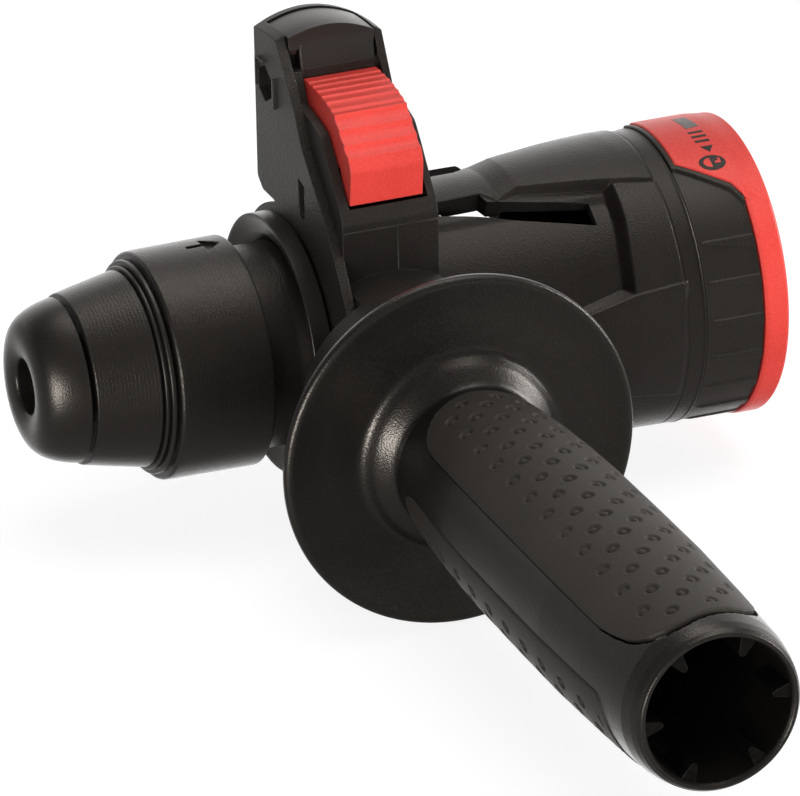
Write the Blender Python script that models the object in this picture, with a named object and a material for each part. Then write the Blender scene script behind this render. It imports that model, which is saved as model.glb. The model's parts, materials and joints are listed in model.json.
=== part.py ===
"""Quick-change rotary-hammer head with a swivelling side handle.

Frame: +Z up, tool axis along X. Front is -X (tool holder), rear is +X (power-base coupling),
the near side is -Y, where the side handle points, and the far side is +Y. Pieces are drawn in
millimetres around the crossing of the tool axis and the side-handle axis. At the end the object
is moved along X so that its origin lies on the end face of the input shaft.
"""

import math

import bmesh
import bpy
from mathutils import Matrix, Vector

MM = 0.001  # metres in a millimetre
GAP = 0.3  # clearance between neighbouring pieces
SHARP_ANGLE = math.radians(34)
SEG_RING, SEG_BOSS, SEG_BIG, SEG_GEAR, SEG_MID, SEG_SMALL = 32, 28, 24, 20, 16, 12

# ---- driving dimensions, mm ----
BORE_R = 5.15  # tool shank bore, for a 10 mm shank
CAP_TIP_X, CAP_REAR_X = -67.6, -57.7
CONE_FRONT_X, CONE_REAR_X = -57.35, -44.5
CONE_FRONT_R, CONE_REAR_R = 17.0, 19.66
SLEEVE_FRONT_X, SLEEVE_REAR_X = -41.9, -22.5
SLEEVE_FRONT_R, SLEEVE_REAR_R = 22.78, 23.0
BALL_X, BALL_Z, BALL_R = -50.0, 7.6, 3.1  # locking balls
NECK_R = 20.2  # front neck of the housing
COLLAR_FRONT_X, COLLAR_REAR_X, COLLAR_R = -15.2, -10.9, 26.0
SEAT_R = 21.5  # round 43 mm seat that the side-handle clamp grips
CLAMP_FRONT_X, CLAMP_REAR_X = -10.5, 11.5
PLATE_REAR_X = -8.8
HOUSING_FRONT_X, HOUSING_REAR_X = 12.3, 66.0
HOUSING_IN_R = 24.6
SPINDLE_CLEAR_R = 8.95  # inner radius of the rings around the spindle
FRONT_BEARING_R = 17.4
TUBE_R, TUBE_BORE_R = 8.6, 6.8  # hammer tube that is the rear of the spindle
SCREW_Y, SCREW_Z = 16.7, 6.1
SCREW_HOLE_R = 2.0
WOBBLE_X = 46.0
DRIVE_FACE_X = 76.5  # end face of the input shaft
RING_FRONT_X, RING_SPLIT_X, RING_REAR_X = 66.4, 78.4, 83.6
RING_R, RING_IN_R = 30.1, 25.0
BOSS_R, BOSS_X = 22.4, 1.0
ROD_Y, ROD_Z, ROD_HOLE_R = 10.9, 50.5, 3.9  # depth-rod hole
SPRING_X, SPRING_Y, BUTTON_Z = 1.75, -8.0, 45.0
FLANGE_Y, FLANGE_R = -62.1, 36.2
HANDLE_END_Y = -187.2
STUD_R = 3.9

# ---- gears ----
GEAR_M = 0.8  # module, mm
Z_INPUT, Z_INTER = 14, 22  # tooth counts
Z_PINION, Z_SPINDLE = 9, 27
PRESSURE_ANGLE = math.radians(20)
ADDENDUM, DEDENDUM = 0.9, 1.15  # in modules
BACKLASH = 0.10
FLANK_STEPS = 2
LAY_Z = -GEAR_M * (Z_PINION + Z_SPINDLE) / 2  # height of the intermediate shaft
LAY_CENTRE = (0, LAY_Z)
LAY_ORIGIN = (0, 0, LAY_Z)
LAY_SHAFT_R, LAY_BUSH_R, LAY_BEARING_R = 2.9, 3.3, 5.2
INPUT_SHAFT_R = 3.9
TOOTH_UP = math.radians(90)

SCREWS = [(side * SCREW_Y, level * SCREW_Z) for side in (-1, 1) for level in (1, -1)]


for old in list(bpy.data.objects):
    bpy.data.objects.remove(old, do_unlink=True)

SCENE = bpy.context.scene.collection

# =====================================================================================
# Materials
# =====================================================================================


def material(name, colour, roughness, metallic=0.0):
    mat = bpy.data.materials.new(name)
    mat.use_nodes = True
    shader = mat.node_tree.nodes["Principled BSDF"]
    shader.inputs["Base Color"].default_value = (*colour, 1.0)
    shader.inputs["Roughness"].default_value = roughness
    shader.inputs["Metallic"].default_value = metallic
    mat.diffuse_color = (*colour, 1.0)
    return mat


def metal(name, colour, roughness):
    return material(name, colour, roughness, metallic=1.0)


BLACK = material("black_plastic", colour=(0.022, 0.020, 0.018), roughness=0.55)
SATIN = material("satin_black_plastic", colour=(0.030, 0.028, 0.026), roughness=0.42)
SOFT = material("soft_grip_rubber", colour=(0.040, 0.036, 0.033), roughness=0.75)
RUBBER = material("black_rubber", colour=(0.018, 0.017, 0.016), roughness=0.6)
RED = material("red_plastic", colour=(0.78, 0.055, 0.045), roughness=0.45)
STEEL = metal("machined_steel", colour=(0.55, 0.55, 0.56), roughness=0.32)
DARK_STEEL = metal("blackened_steel", colour=(0.16, 0.16, 0.17), roughness=0.4)
CAST = metal("die_cast_aluminium", colour=(0.62, 0.62, 0.63), roughness=0.5)
BRASS = metal("brass", colour=(0.75, 0.55, 0.25), roughness=0.35)

# =====================================================================================
# Objects and booleans
# =====================================================================================


def shade(mesh):
    mesh.shade_smooth()
    mesh.set_sharp_from_angle(angle=SHARP_ANGLE)


def piece(name, mat, bm, origin=(0, 0, 0)):
    """Turns a bmesh into a named object whose origin lies at the given point, in mm."""
    bmesh.ops.remove_doubles(bm, verts=bm.verts, dist=1e-6)
    bmesh.ops.recalc_face_normals(bm, faces=bm.faces)
    shift = Vector(origin) * MM
    bmesh.ops.translate(bm, verts=bm.verts, vec=-shift)
    mesh = bpy.data.meshes.new(name)
    bm.to_mesh(mesh)
    bm.free()
    shade(mesh)
    obj = bpy.data.objects.new(name, mesh)
    obj.location = shift
    SCENE.objects.link(obj)
    obj.data.materials.append(mat)
    return obj


def boolean(target, other, operation):
    """Applies an exact boolean to target, keeps target's material and removes other."""
    modifier = target.modifiers.new(other.name, "BOOLEAN")
    modifier.operation = operation
    modifier.object = other
    modifier.solver = "EXACT"
    bpy.context.view_layer.update()
    graph = bpy.context.evaluated_depsgraph_get()
    mesh = bpy.data.meshes.new_from_object(target.evaluated_get(graph))
    bm = bmesh.new()
    bm.from_mesh(mesh)
    bmesh.ops.remove_doubles(bm, verts=bm.verts, dist=5e-6)
    bmesh.ops.dissolve_degenerate(bm, dist=5e-6, edges=bm.edges)
    bmesh.ops.triangulate(bm, faces=[f for f in bm.faces if len(f.verts) > 4])
    bm.to_mesh(mesh)
    bm.free()
    target.modifiers.clear()
    kept = target.data.materials[0]
    target.data = mesh
    mesh.materials.clear()
    mesh.materials.append(kept)
    for polygon in mesh.polygons:
        polygon.material_index = 0
    bpy.data.objects.remove(other, do_unlink=True)
    shade(mesh)


def combine(target, bm, operation):
    boolean(target, piece("tool", target.data.materials[0], bm), operation)


def cut(target, bm):
    combine(target, bm, "DIFFERENCE")


def join(target, bm):
    combine(target, bm, "UNION")


# =====================================================================================
# Shapes: each returns a bmesh in metres, from sizes in mm
# =====================================================================================


def place(axis, along, u, v):
    """Point at a distance along an axis; u and v are the other two coordinates in XYZ order."""
    coords = [u, v]
    coords.insert("XYZ".index(axis), along)
    return Vector(coords)


def lathe(profile, seg, axis="X", centre=(0.0, 0.0)):
    """Turned shape: profile holds (position along the axis, radius). A profile that starts and
    ends on the axis is left open, any other is closed into a loop."""
    bm = bmesh.new()
    u, v = centre
    verts = [bm.verts.new(place(axis, a, u, v + r) * MM) for a, r in profile]
    edges = [bm.edges.new(pair) for pair in zip(verts, verts[1:])]
    if not (profile[0][1] == 0 and profile[-1][1] == 0):
        edges.append(bm.edges.new((verts[-1], verts[0])))
    bmesh.ops.spin(
        bm,
        geom=verts + edges,
        cent=place(axis, 0, u, v) * MM,
        axis=place(axis, 1, 0, 0),
        angle=math.tau,
        steps=seg,
        use_merge=True,
    )
    bmesh.ops.remove_doubles(bm, verts=bm.verts, dist=1e-6)
    bmesh.ops.dissolve_degenerate(bm, dist=1e-7, edges=bm.edges)
    return bm


def tube(lo, hi, inner, outer, seg, axis="X", centre=(0.0, 0.0)):
    profile = [(lo, inner), (lo, outer), (hi, outer), (hi, inner)]
    return lathe(profile, seg, axis, centre)


def prism(outline, lo, hi, axis="X"):
    """Outline pulled along an axis: (y, z) points for X, (x, z) for Y, (x, y) for Z."""
    bm = bmesh.new()
    face = bm.faces.new([bm.verts.new(place(axis, lo, u, v) * MM) for u, v in outline])
    pulled = bmesh.ops.extrude_face_region(bm, geom=[face])
    moved = [v for v in pulled["geom"] if isinstance(v, bmesh.types.BMVert)]
    bmesh.ops.translate(bm, verts=moved, vec=place(axis, hi - lo, 0, 0) * MM)
    return bm


def box(lo, hi):
    outline = [(lo[1], lo[2]), (hi[1], lo[2]), (hi[1], hi[2]), (lo[1], hi[2])]
    return prism(outline, lo[0], hi[0])


def circle(u, v, r, n, start=0.0):
    angles = [start + math.tau * i / n for i in range(n)]
    return [(u + r * math.cos(a), v + r * math.sin(a)) for a in angles]


def polar_x(x, degrees, r):
    """Point on a round body about X: 0 degrees faces -Y and 90 degrees faces up."""
    t = math.radians(degrees)
    return (x, -r * math.cos(t), r * math.sin(t))


def polar_y(y, degrees, r):
    """Point on a round body about Y: 0 degrees faces +X and 90 degrees faces up."""
    t = math.radians(degrees)
    return (r * math.cos(t), y, r * math.sin(t))


def patch(rows, inner, outer, steps, point=polar_x):
    """Curved block between two radii, each a number or a function of position.
    rows holds (position, first angle, last angle)."""
    bm = bmesh.new()
    grids = []
    for radius in (inner, outer):
        grid = []
        for a, first, last in rows:
            r = radius(a) if callable(radius) else radius
            angles = [first + (last - first) * j / steps for j in range(steps + 1)]
            grid.append([bm.verts.new(Vector(point(a, t, r)) * MM) for t in angles])
        grids.append(grid)
    low, high = grids
    end = len(rows) - 1
    for i in range(end):
        for j in range(steps):
            bm.faces.new((low[i][j], low[i + 1][j], low[i + 1][j + 1], low[i][j + 1]))
            bm.faces.new((high[i][j], high[i][j + 1], high[i + 1][j + 1], high[i + 1][j]))
        for j in (0, steps):
            bm.faces.new((low[i][j], high[i][j], high[i + 1][j], low[i + 1][j]))
    for i in (0, end):
        for j in range(steps):
            bm.faces.new((low[i][j], low[i][j + 1], high[i][j + 1], high[i][j]))
    return bm


def involute(r, base_r):
    """Polar angle of an involute of the base circle where it reaches radius r."""
    tangent = math.sqrt(r * r / (base_r * base_r) - 1)
    return tangent - math.atan(tangent)


def gear(teeth, x0, x1, centre, phase):
    """Spur gear about an X axis: involute flanks that run radially below the base circle.
    The first tooth is centred on phase, measured from +Y towards +Z."""
    pitch_r = teeth * GEAR_M / 2
    base_r = pitch_r * math.cos(PRESSURE_ANGLE)
    tip_r = pitch_r + ADDENDUM * GEAR_M
    root_r = pitch_r - DEDENDUM * GEAR_M
    half_at_pitch = math.pi / (2 * teeth) - BACKLASH / pitch_r
    flank = []
    for i in range(FLANK_STEPS + 1):
        r = base_r + (tip_r - base_r) * i / FLANK_STEPS
        flank.append((r, half_at_pitch + involute(pitch_r, base_r) - involute(r, base_r)))
    flank.insert(0, (root_r, flank[0][1]))
    polar = []
    for k in range(teeth):
        mid = math.tau * k / teeth
        polar += [(r, mid - a) for r, a in flank]
        polar += [(r, mid + a) for r, a in reversed(flank)]
    y, z = centre
    outline = [(y + r * math.cos(a + phase), z + r * math.sin(a + phase)) for r, a in polar]
    return prism(outline, x0, x1)


def gap_down(teeth):
    """Phase that turns a tooth gap to face down."""
    return math.radians(-90) + math.pi / teeth


def bore_gear(target, x0, x1, centre, r):
    cut(target, prism(circle(*centre, r, SEG_GEAR), x0 - 1, x1 + 1))


def coil(mean_r, wire_r, lo, hi, turns, axis, centre, per_turn, sides=5):
    """Helical spring; the wire's ends are flat."""
    bm = bmesh.new()
    total = turns * per_turn
    span = hi - lo - 2 * wire_r
    rings = []
    for i in range(total + 1):
        f = i / total
        a = math.tau * turns * f
        along = lo + wire_r + span * f
        ring = []
        for j in range(sides):
            b = math.tau * j / sides
            r = mean_r + wire_r * math.cos(b)
            u, v = centre[0] + r * math.cos(a), centre[1] + r * math.sin(a)
            ring.append(bm.verts.new(place(axis, along + wire_r * math.sin(b), u, v) * MM))
        rings.append(ring)
    for one, two in zip(rings, rings[1:]):
        for j in range(sides):
            k = (j + 1) % sides
            bm.faces.new((one[j], one[k], two[k], two[j]))
    bm.faces.new(rings[0])
    bm.faces.new(rings[-1])
    return bm


# =====================================================================================
# Housing and everything fixed to it
# =====================================================================================

# (x, radius) of the housing's outside behind the clamp seat
SHELL = [
    (12.8, 27.4), (34, 27.6), (37.5, 28.8), (46.3, 29.6), (57.5, 30.2), (61, 30.1),
    (HOUSING_REAR_X, 29.6),
]
HOUSING_BORE_R = FRONT_BEARING_R + GAP
# (x, radius), from the neck over the outside and back through the bore
HOUSING_PROFILE = [
    (-29.0, NECK_R - 0.6), (-28.4, NECK_R), (-10.7, NECK_R), (-10.2, SEAT_R), (11.9, SEAT_R),
    (HOUSING_FRONT_X, 27.0), *SHELL, (HOUSING_REAR_X, 27.0), (56.0, 27.0),
    (51.5, HOUSING_IN_R), (14.6, HOUSING_IN_R - 0.2), (14.6, 18.9), (-5.5, 18.9),
    (-5.5, HOUSING_BORE_R), (-29.0, HOUSING_BORE_R),
]
# (x, first angle, last angle) on the near side; the far side mirrors them
WINDOW = [
    (15.2, 68.2, 75.0), (19.2, 66.3, 75.0), (27.2, 62.4, 76.0), (28.2, 62.0, 70.0),
    (49.0, 52.0, 61.0),
]
SUNK_PANEL = [
    (15.0, -24.0, 63.9), (30.0, -24.0, 58.9), (40.0, -24.0, 54.2), (50.0, -24.0, 48.0),
    (50.4, -24.0, 46.0),
]
FAR_VENT = [(29.0, 133.0, 171.0), (43.5, 133.0, 171.0)]
CUT_OUT_R = 34.0  # reaches outside the housing


def gear_housing():
    housing = piece("gear_housing", BLACK, lathe(HOUSING_PROFILE, SEG_BIG))
    for start, sign in ((0, 1), (180, -1)):
        for rows, inner, steps in ((WINDOW, 21.0, 2), (SUNK_PANEL, 26.3, 6)):
            turned = [(x, start + sign * t0, start + sign * t1) for x, t0, t1 in rows]
            cut(housing, patch(turned, inner, CUT_OUT_R, steps))
    cut(housing, patch(FAR_VENT, 20.0, CUT_OUT_R, 4))
    # screw bosses with their ribs to the wall
    rib_end_y, rib_half = 25.9, 2.6
    for y, z in SCREWS:
        y_lo, y_hi = sorted((y, math.copysign(rib_end_y, y)))
        join(housing, box((52.0, y_lo, z - rib_half), (61.6, y_hi, z + rib_half)))
        join(housing, prism(circle(y, z, 3.5, SEG_SMALL), 51.9, 61.7))
        cut(housing, prism(circle(y, z, SCREW_HOLE_R, SEG_SMALL), 54.0, 62.5))


def front_collar():
    inner = NECK_R + GAP + 0.1
    profile = [
        (COLLAR_FRONT_X, 24.6), (COLLAR_FRONT_X, 25.6), (COLLAR_FRONT_X + 0.5, COLLAR_R),
        (COLLAR_REAR_X - 0.4, COLLAR_R), (COLLAR_REAR_X, 25.6), (COLLAR_REAR_X, inner),
        (-12.8, inner), (-13.0, 24.2),
    ]
    piece("front_collar", SATIN, lathe(profile, SEG_BIG))


# Plain rings about X: name, material, front x, rear x, inner radius, outer radius,
# segments, centre (y, z)
AXIS = (0, 0)
PLAIN_RINGS = [
    ("shaft_seal", RUBBER, -18.0, -15.0, SPINDLE_CLEAR_R, FRONT_BEARING_R, SEG_MID, AXIS),
    ("front_ball_bearing", STEEL, -14.0, -6.0, SPINDLE_CLEAR_R, FRONT_BEARING_R, SEG_MID, AXIS),
    ("intermediate_front_bearing", STEEL, 15.2, 19.4, LAY_BUSH_R, LAY_BEARING_R, SEG_SMALL,
     LAY_CENTRE),
    ("intermediate_rear_bearing", STEEL, 62.6, HOUSING_REAR_X, LAY_BUSH_R, LAY_BEARING_R,
     SEG_SMALL, LAY_CENTRE),
    ("input_ball_bearing", STEEL, 63.2, 68.4, INPUT_SHAFT_R + GAP, 7.5, SEG_SMALL, AXIS),
    ("spring_seat_washer", DARK_STEEL, -20.9, -19.6, 8.9, 16.9, SEG_MID, AXIS),
    ("gear_circlip", DARK_STEEL, 29.4, 30.5, TUBE_R + GAP, 9.7, SEG_MID, AXIS),
    ("locking_ring", DARK_STEEL, -56.8, -44.6, 11.1, 13.1, SEG_MID, AXIS),
]


def plain_rings():
    for name, mat, front, rear, inner, outer, seg, centre in PLAIN_RINGS:
        piece(name, mat, tube(front, rear, inner, outer, seg, centre=centre))


def cut_lay_seat(target, lo, hi):
    """Round seat for a bearing of the intermediate shaft."""
    cut(target, prism(circle(*LAY_CENTRE, LAY_BEARING_R + GAP, SEG_MID), lo, hi))


def bearing_bridge():
    bridge = piece("bearing_bridge", CAST, tube(15.0, 19.6, 11.3, 24.0, SEG_MID))
    cut_lay_seat(bridge, 12, 21)


def spindle_needle_bush():
    bush_tube = tube(15.2, 19.4, SPINDLE_CLEAR_R, 11.0, SEG_MID)
    bush = piece("spindle_needle_bush", STEEL, bush_tube)
    cut_lay_seat(bush, 12, 21)


def rear_adapter():
    profile = [
        (62.2, 7.8), (62.2, 26.6), (65.9, 26.6), (66.1, 24.5), (79.5, 24.5), (79.5, 21.3),
        (69.0, 21.3), (69.0, 7.8),
    ]
    adapter = piece("rear_adapter", CAST, lathe(profile, SEG_BIG))
    cut_lay_seat(adapter, 61, 66.4)
    for y, z in SCREWS:
        cut(adapter, prism(circle(y, z, SCREW_HOLE_R, SEG_SMALL), 61, 70))


def adapter_screws():
    profile = [
        (54.6, 0), (54.6, 1.65), (69.25, 1.65), (69.25, 2.9), (71.0, 2.9), (71.4, 2.3), (71.4, 0),
    ]
    for i, (y, z) in enumerate(SCREWS, start=1):
        shape = lathe(profile, SEG_SMALL, centre=(y, z))
        screw = piece(f"adapter_screw_{i}", DARK_STEEL, shape, origin=(69, y, z))
        cut(screw, prism(circle(y, z, 1.3, 6), 70.0, 72.0))  # hexagon recess


# =====================================================================================
# Spindle and tool holder
# =====================================================================================

SPINDLE_PROFILE = [
    (-62.5, BORE_R), (-62.5, 7.9), (-62.0, 8.3), (-24.0, 8.3), (-23.6, TUBE_R), (37.0, TUBE_R),
    (37.0, TUBE_BORE_R), (-2.0, TUBE_BORE_R), (-2.4, 6.0), (-19.7, 6.0), (-20.3, BORE_R),
]
DUST_CAP_PROFILE = [
    (-62.9, 5.6), (-66.0, 5.6), (-67.2, 7.8), (CAP_TIP_X, 10.0), (-66.8, 12.3), (-64.3, 14.5),
    (-61.0, 15.9), (CAP_REAR_X, 16.5), (CAP_REAR_X, 8.7), (-62.9, 8.7),
]
CONE_PROFILE = [
    (CONE_FRONT_X, 13.4), (CONE_FRONT_X, 16.6), (CONE_FRONT_X + 0.5, CONE_FRONT_R),
    (CONE_REAR_X, CONE_REAR_R), (-44.3, 19.4), (-44.3, 13.4),
]
STEP_RING_PROFILE = [
    (-44.0, 9.2), (-44.0, 20.0), (-43.7, 20.3), (-43.3, 20.3), (-43.2, 21.1), (-43.0, 21.3),
    (-42.2, 21.3), (-42.2, 9.2),
]
SLEEVE_PROFILE = [
    (SLEEVE_FRONT_X, 9.2), (SLEEVE_FRONT_X, 22.2), (-41.3, SLEEVE_FRONT_R), (-32.0, 22.9),
    (-23.1, SLEEVE_REAR_R), (SLEEVE_REAR_X, 22.5), (SLEEVE_REAR_X, NECK_R + 0.6),
    (-37.8, NECK_R + 0.6), (-37.8, 9.2),
]


def spindle():
    body = piece("spindle", STEEL, lathe(SPINDLE_PROFILE, SEG_MID))
    for sign in (1, -1):
        lo, hi = sorted((sign * 3.5, sign * 9.5))
        cut(body, prism(circle(BALL_X, 0.0, 3.5, SEG_MID), lo, hi, "Z"))
    # two drive keyways of the tool socket
    for sign in (1, -1):
        lo, hi = sorted((sign * 3.0, sign * 6.2))
        cut(body, box((-63.5, lo, -1.3), (-30.0, hi, 1.3)))


def locking_balls():
    for name, z in (("locking_ball_top", BALL_Z), ("locking_ball_bottom", -BALL_Z)):
        at = (BALL_X, 0.0, z)
        bm = bmesh.new()
        bmesh.ops.create_uvsphere(bm, u_segments=12, v_segments=8, radius=BALL_R * MM)
        bmesh.ops.translate(bm, verts=bm.verts, vec=Vector(at) * MM)
        piece(name, STEEL, bm, origin=at)


def tool_holder():
    """Turned pieces around the front of the spindle, and the sleeve's spring."""
    piece("dust_cap", RUBBER, lathe(DUST_CAP_PROFILE, SEG_BIG))
    piece("sleeve_cone", BLACK, lathe(CONE_PROFILE, SEG_BIG))
    piece("sleeve_step_ring", SATIN, lathe(STEP_RING_PROFILE, SEG_BIG))
    piece("locking_sleeve", BLACK, lathe(SLEEVE_PROFILE, SEG_BIG))
    spring = coil(
        mean_r=13.0, wire_r=0.7, lo=-37.4, hi=-21.2, turns=4, axis="X", centre=(0, 0), per_turn=12
    )
    piece("sleeve_spring", STEEL, spring)


# =====================================================================================
# Hammer mechanism
# =====================================================================================

IMPACT_BOLT_PROFILE = [
    (-26.0, 0), (-26.0, 4.2), (-25.5, 4.7), (-19.2, 4.7), (-18.8, 5.6), (-5.0, 5.6), (-4.4, 5.0),
    (-4.4, 0),
]
# O-ring grooves: front x, rear x, floor radius
STRIKER_GROOVE = (9.6, 11.8, 5.1)
PISTON_GROOVE = (26.6, 28.8, 5.2)


def groove_points(groove, rim_r):
    front, rear, floor_r = groove
    return [(front, rim_r), (front, floor_r), (rear, floor_r), (rear, rim_r)]


def o_ring(name, groove, outer_r):
    front, rear, floor_r = groove
    shape = tube(front + GAP, rear - GAP, floor_r + GAP, outer_r, SEG_SMALL)
    piece(name, RUBBER, shape)


def impact_bolt():
    piece("impact_bolt", STEEL, lathe(IMPACT_BOLT_PROFILE, SEG_SMALL))


def striker():
    profile = [
        (0, 0), (0, 3.8), (0.6, 4.4), (3.6, 4.4), (4.2, 6.4), *groove_points(STRIKER_GROOVE, 6.4),
        (15.6, 6.4), (16.0, 6.0), (16.0, 0),
    ]
    piece("striker", STEEL, lathe(profile, SEG_SMALL))
    o_ring("striker_o_ring", STRIKER_GROOVE, 6.55)


def piston():
    profile = [
        (23.8, 0), (23.8, 6.1), (24.2, 6.5), *groove_points(PISTON_GROOVE, 6.5), (37.6, 6.5),
        (38.2, 4.6), (51.0, 4.6), (51.0, 0),
    ]
    body = piece("piston", CAST, lathe(profile, SEG_SMALL))
    cut(body, prism(circle(WOBBLE_X, 0, 2.7, n=14), -7, 7, "Z"))  # eye for the wobble arm
    o_ring("piston_o_ring", PISTON_GROOVE, 6.6)


def ball_arc(radius, half_width, steps):
    """(x, radius) points over a ball centred on the wobble position."""
    offsets = [half_width * (2 * i / steps - 1) for i in range(steps + 1)]
    return [(WOBBLE_X + x, math.sqrt(radius * radius - x * x)) for x in offsets]


def wobble_hub():
    """Ball-shaped hub on the intermediate shaft."""
    half = 4.6
    profile = ball_arc(6.4, half, 6)
    profile += [(WOBBLE_X + half, LAY_BUSH_R), (WOBBLE_X - half, LAY_BUSH_R)]
    piece("wobble_hub", STEEL, lathe(profile, SEG_MID, centre=LAY_CENTRE))


def wobble_ring():
    """Ring that swings on the hub, with an arm up into the piston."""
    half, outer = 3.2, 8.9
    profile = ball_arc(6.75, half, 4) + [(WOBBLE_X + half, outer), (WOBBLE_X - half, outer)]
    shape = lathe(profile, SEG_MID, centre=LAY_CENTRE)
    ring = piece("wobble_ring", DARK_STEEL, shape, origin=(WOBBLE_X, 0, LAY_Z))
    join(ring, prism(circle(WOBBLE_X, 0, 1.8, SEG_SMALL), LAY_Z + 7.6, 3.0, "Z"))


# =====================================================================================
# Gears and shafts
# =====================================================================================


def spindle_gear():
    x0, x1 = 24.0, 29.0
    shape = gear(Z_SPINDLE, x0, x1, AXIS, gap_down(Z_SPINDLE))
    bore_gear(piece("spindle_gear", STEEL, shape), x0, x1, AXIS, TUBE_R + GAP)


def intermediate_shaft():
    shape = gear(Z_PINION, 23.4, 29.6, LAY_CENTRE, TOOTH_UP)
    shaft = piece("intermediate_shaft", STEEL, shape, origin=LAY_ORIGIN)
    for x0, x1 in ((15.0, 24.5), (28.5, 65.7)):
        join(shaft, prism(circle(*LAY_CENTRE, LAY_SHAFT_R, SEG_MID), x0, x1))


def intermediate_gear():
    x0, x1 = 56.3, 60.7
    shape = gear(Z_INTER, x0, x1, LAY_CENTRE, TOOTH_UP)
    wheel = piece("intermediate_gear", STEEL, shape, origin=LAY_ORIGIN)
    bore_gear(wheel, x0, x1, LAY_CENTRE, LAY_SHAFT_R + GAP)


def input_pinion_shaft():
    shape = gear(Z_INPUT, 56.0, 61.0, AXIS, gap_down(Z_INPUT))
    shaft = piece("input_pinion_shaft", STEEL, shape)
    join(shaft, prism(circle(0, 0, INPUT_SHAFT_R, SEG_GEAR), 60.0, DRIVE_FACE_X))


def drive_dog():
    profile = [(71.6, 4.3), (71.6, 8.6), (72.0, 9.0), (81.6, 9.0), (82.0, 8.6), (82.0, 4.3)]
    dog = piece("drive_dog", DARK_STEEL, lathe(profile, SEG_MID))
    cut(dog, prism(circle(0, 0, 6.4, 6), 77.0, 83.0))  # hexagon socket


# =====================================================================================
# Side-handle clamp with its depth-stop tower
# =====================================================================================

# Rounded part of the clamp's far side: radius, first and last angle from +Y towards +Z, steps
FAR_ARC_R, FAR_ARC_START, FAR_ARC_END, FAR_ARC_STEPS = 27.5, 74.0, -48.0, 10


def far_arc():
    sweep = FAR_ARC_END - FAR_ARC_START
    degrees = [FAR_ARC_START + sweep * i / FAR_ARC_STEPS for i in range(FAR_ARC_STEPS + 1)]
    angles = [math.radians(d) for d in degrees]
    return [(FAR_ARC_R * math.cos(a), FAR_ARC_R * math.sin(a)) for a in angles]


# (y, z) outlines; the body and its face plate share the tower top and the far side
FAR_SIDE = [
    (4.3, 67.0), (16.4, 67.0), (16.4, 28.6), (14.2, 26.9), (7.0, 26.9), *far_arc(),
    (16.0, -29.2), (13.0, -31.5),
]
BODY_OUTLINE = FAR_SIDE + [
    (-20.0, -31.5), (-24.5, -27.0), (-24.5, 33.0), (-23.3, 35.9), (-20.8, 38.9), (-16.2, 44.7),
    (-13.2, 48.1), (-9.0, 49.3), (-2.2, 50.3), (4.3, 61.6),
]
PLATE_OUTLINE = FAR_SIDE + [
    (-24.0, -31.5), (-30.5, -22.0), (-32.1, 0.0), (-32.1, 16.0), (-26.3, 24.4), (-20.9, 31.6),
    (-8.3, 43.9), (-4.8, 50.2), (4.3, 61.6),
]
POCKET_OUTLINE = [
    (4.2, 29.6), (4.2, 47.0), (2.0, 47.0), (2.0, 70.0), (-30.0, 70.0), (-30.0, 36.0),
    (-22.9, 36.0), (-22.9, 32.0), (-19.0, 29.6),
]
CAP_SEAT_OUTLINE = [(-2.0, 56.0), (13.7, 56.0), (13.7, 72.0), (-2.0, 72.0)]
CAP_OUTLINE = [(2.4, 56.4), (13.4, 56.4), (13.4, 70.0), (3.3, 70.0), (3.0, 60.8)]
CAP_FRONT_FACE_X, CAP_REAR_FACE_X = -8.4, 9.6
BUTTON_OUTLINE = [
    (1.6, 54.2), (-2.7, 54.5), (-5.7, 54.4), (-10.7, 53.8), (-14.9, 52.6), (-17.5, 49.9),
    (-21.9, 45.9), (-23.2, 43.8), (-22.4, 36.4), (-19.4, 36.4), (-17.6, 42.6), (1.6, 42.6),
]
ROD_HOLE = circle(ROD_Y, ROD_Z, ROD_HOLE_R, 6, start=math.radians(30))
SEAT_CIRCLE = circle(0, 0, SEAT_R + GAP, SEG_BIG)
# Arched tower top: crest position and height, drop per square mm, steps over the clamp
ARCH_X, ARCH_Z, ARCH_DROP, ARCH_STEPS = -0.3, 64.45, 0.0273, 12


def arch_z(x):
    """Height of the arch, held level beyond the clamp's front and rear faces."""
    x = min(max(x, CLAMP_FRONT_X), CLAMP_REAR_X)
    return ARCH_Z - ARCH_DROP * (x - ARCH_X) ** 2


def cut_arch(target, lift=0.0):
    """Removes everything higher than lift above the arch."""
    front, rear, top = -13.0, 14.0, 75.0
    width = CLAMP_REAR_X - CLAMP_FRONT_X
    xs = [front, *(CLAMP_FRONT_X + width * i / ARCH_STEPS for i in range(ARCH_STEPS + 1)), rear]
    outline = [(x, arch_z(x) + lift) for x in xs] + [(rear, top), (front, top)]
    cut(target, prism(outline, -60.0, 30.0, "Y"))


def handle_boss():
    """Round boss for the handle, narrower along X where it runs into the clamp body."""
    disc = circle(BOSS_X, 0.0, BOSS_R, SEG_BOSS)
    root = piece("boss_root", BLACK, prism(disc, -30.0, -22.0, "Y"))
    keep = box((-8.3, -32.0, -24.0), (CLAMP_REAR_X - 0.2, -21.0, 24.0))
    combine(root, keep, "INTERSECT")
    boss = piece("boss", BLACK, prism(disc, -52.0, -29.0, "Y"))
    boolean(boss, root, "UNION")
    # room for the face plate
    cut(boss, box((-22.5, -33.4, -24.0), (-8.2, -28.0, 24.0)))
    return boss


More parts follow.
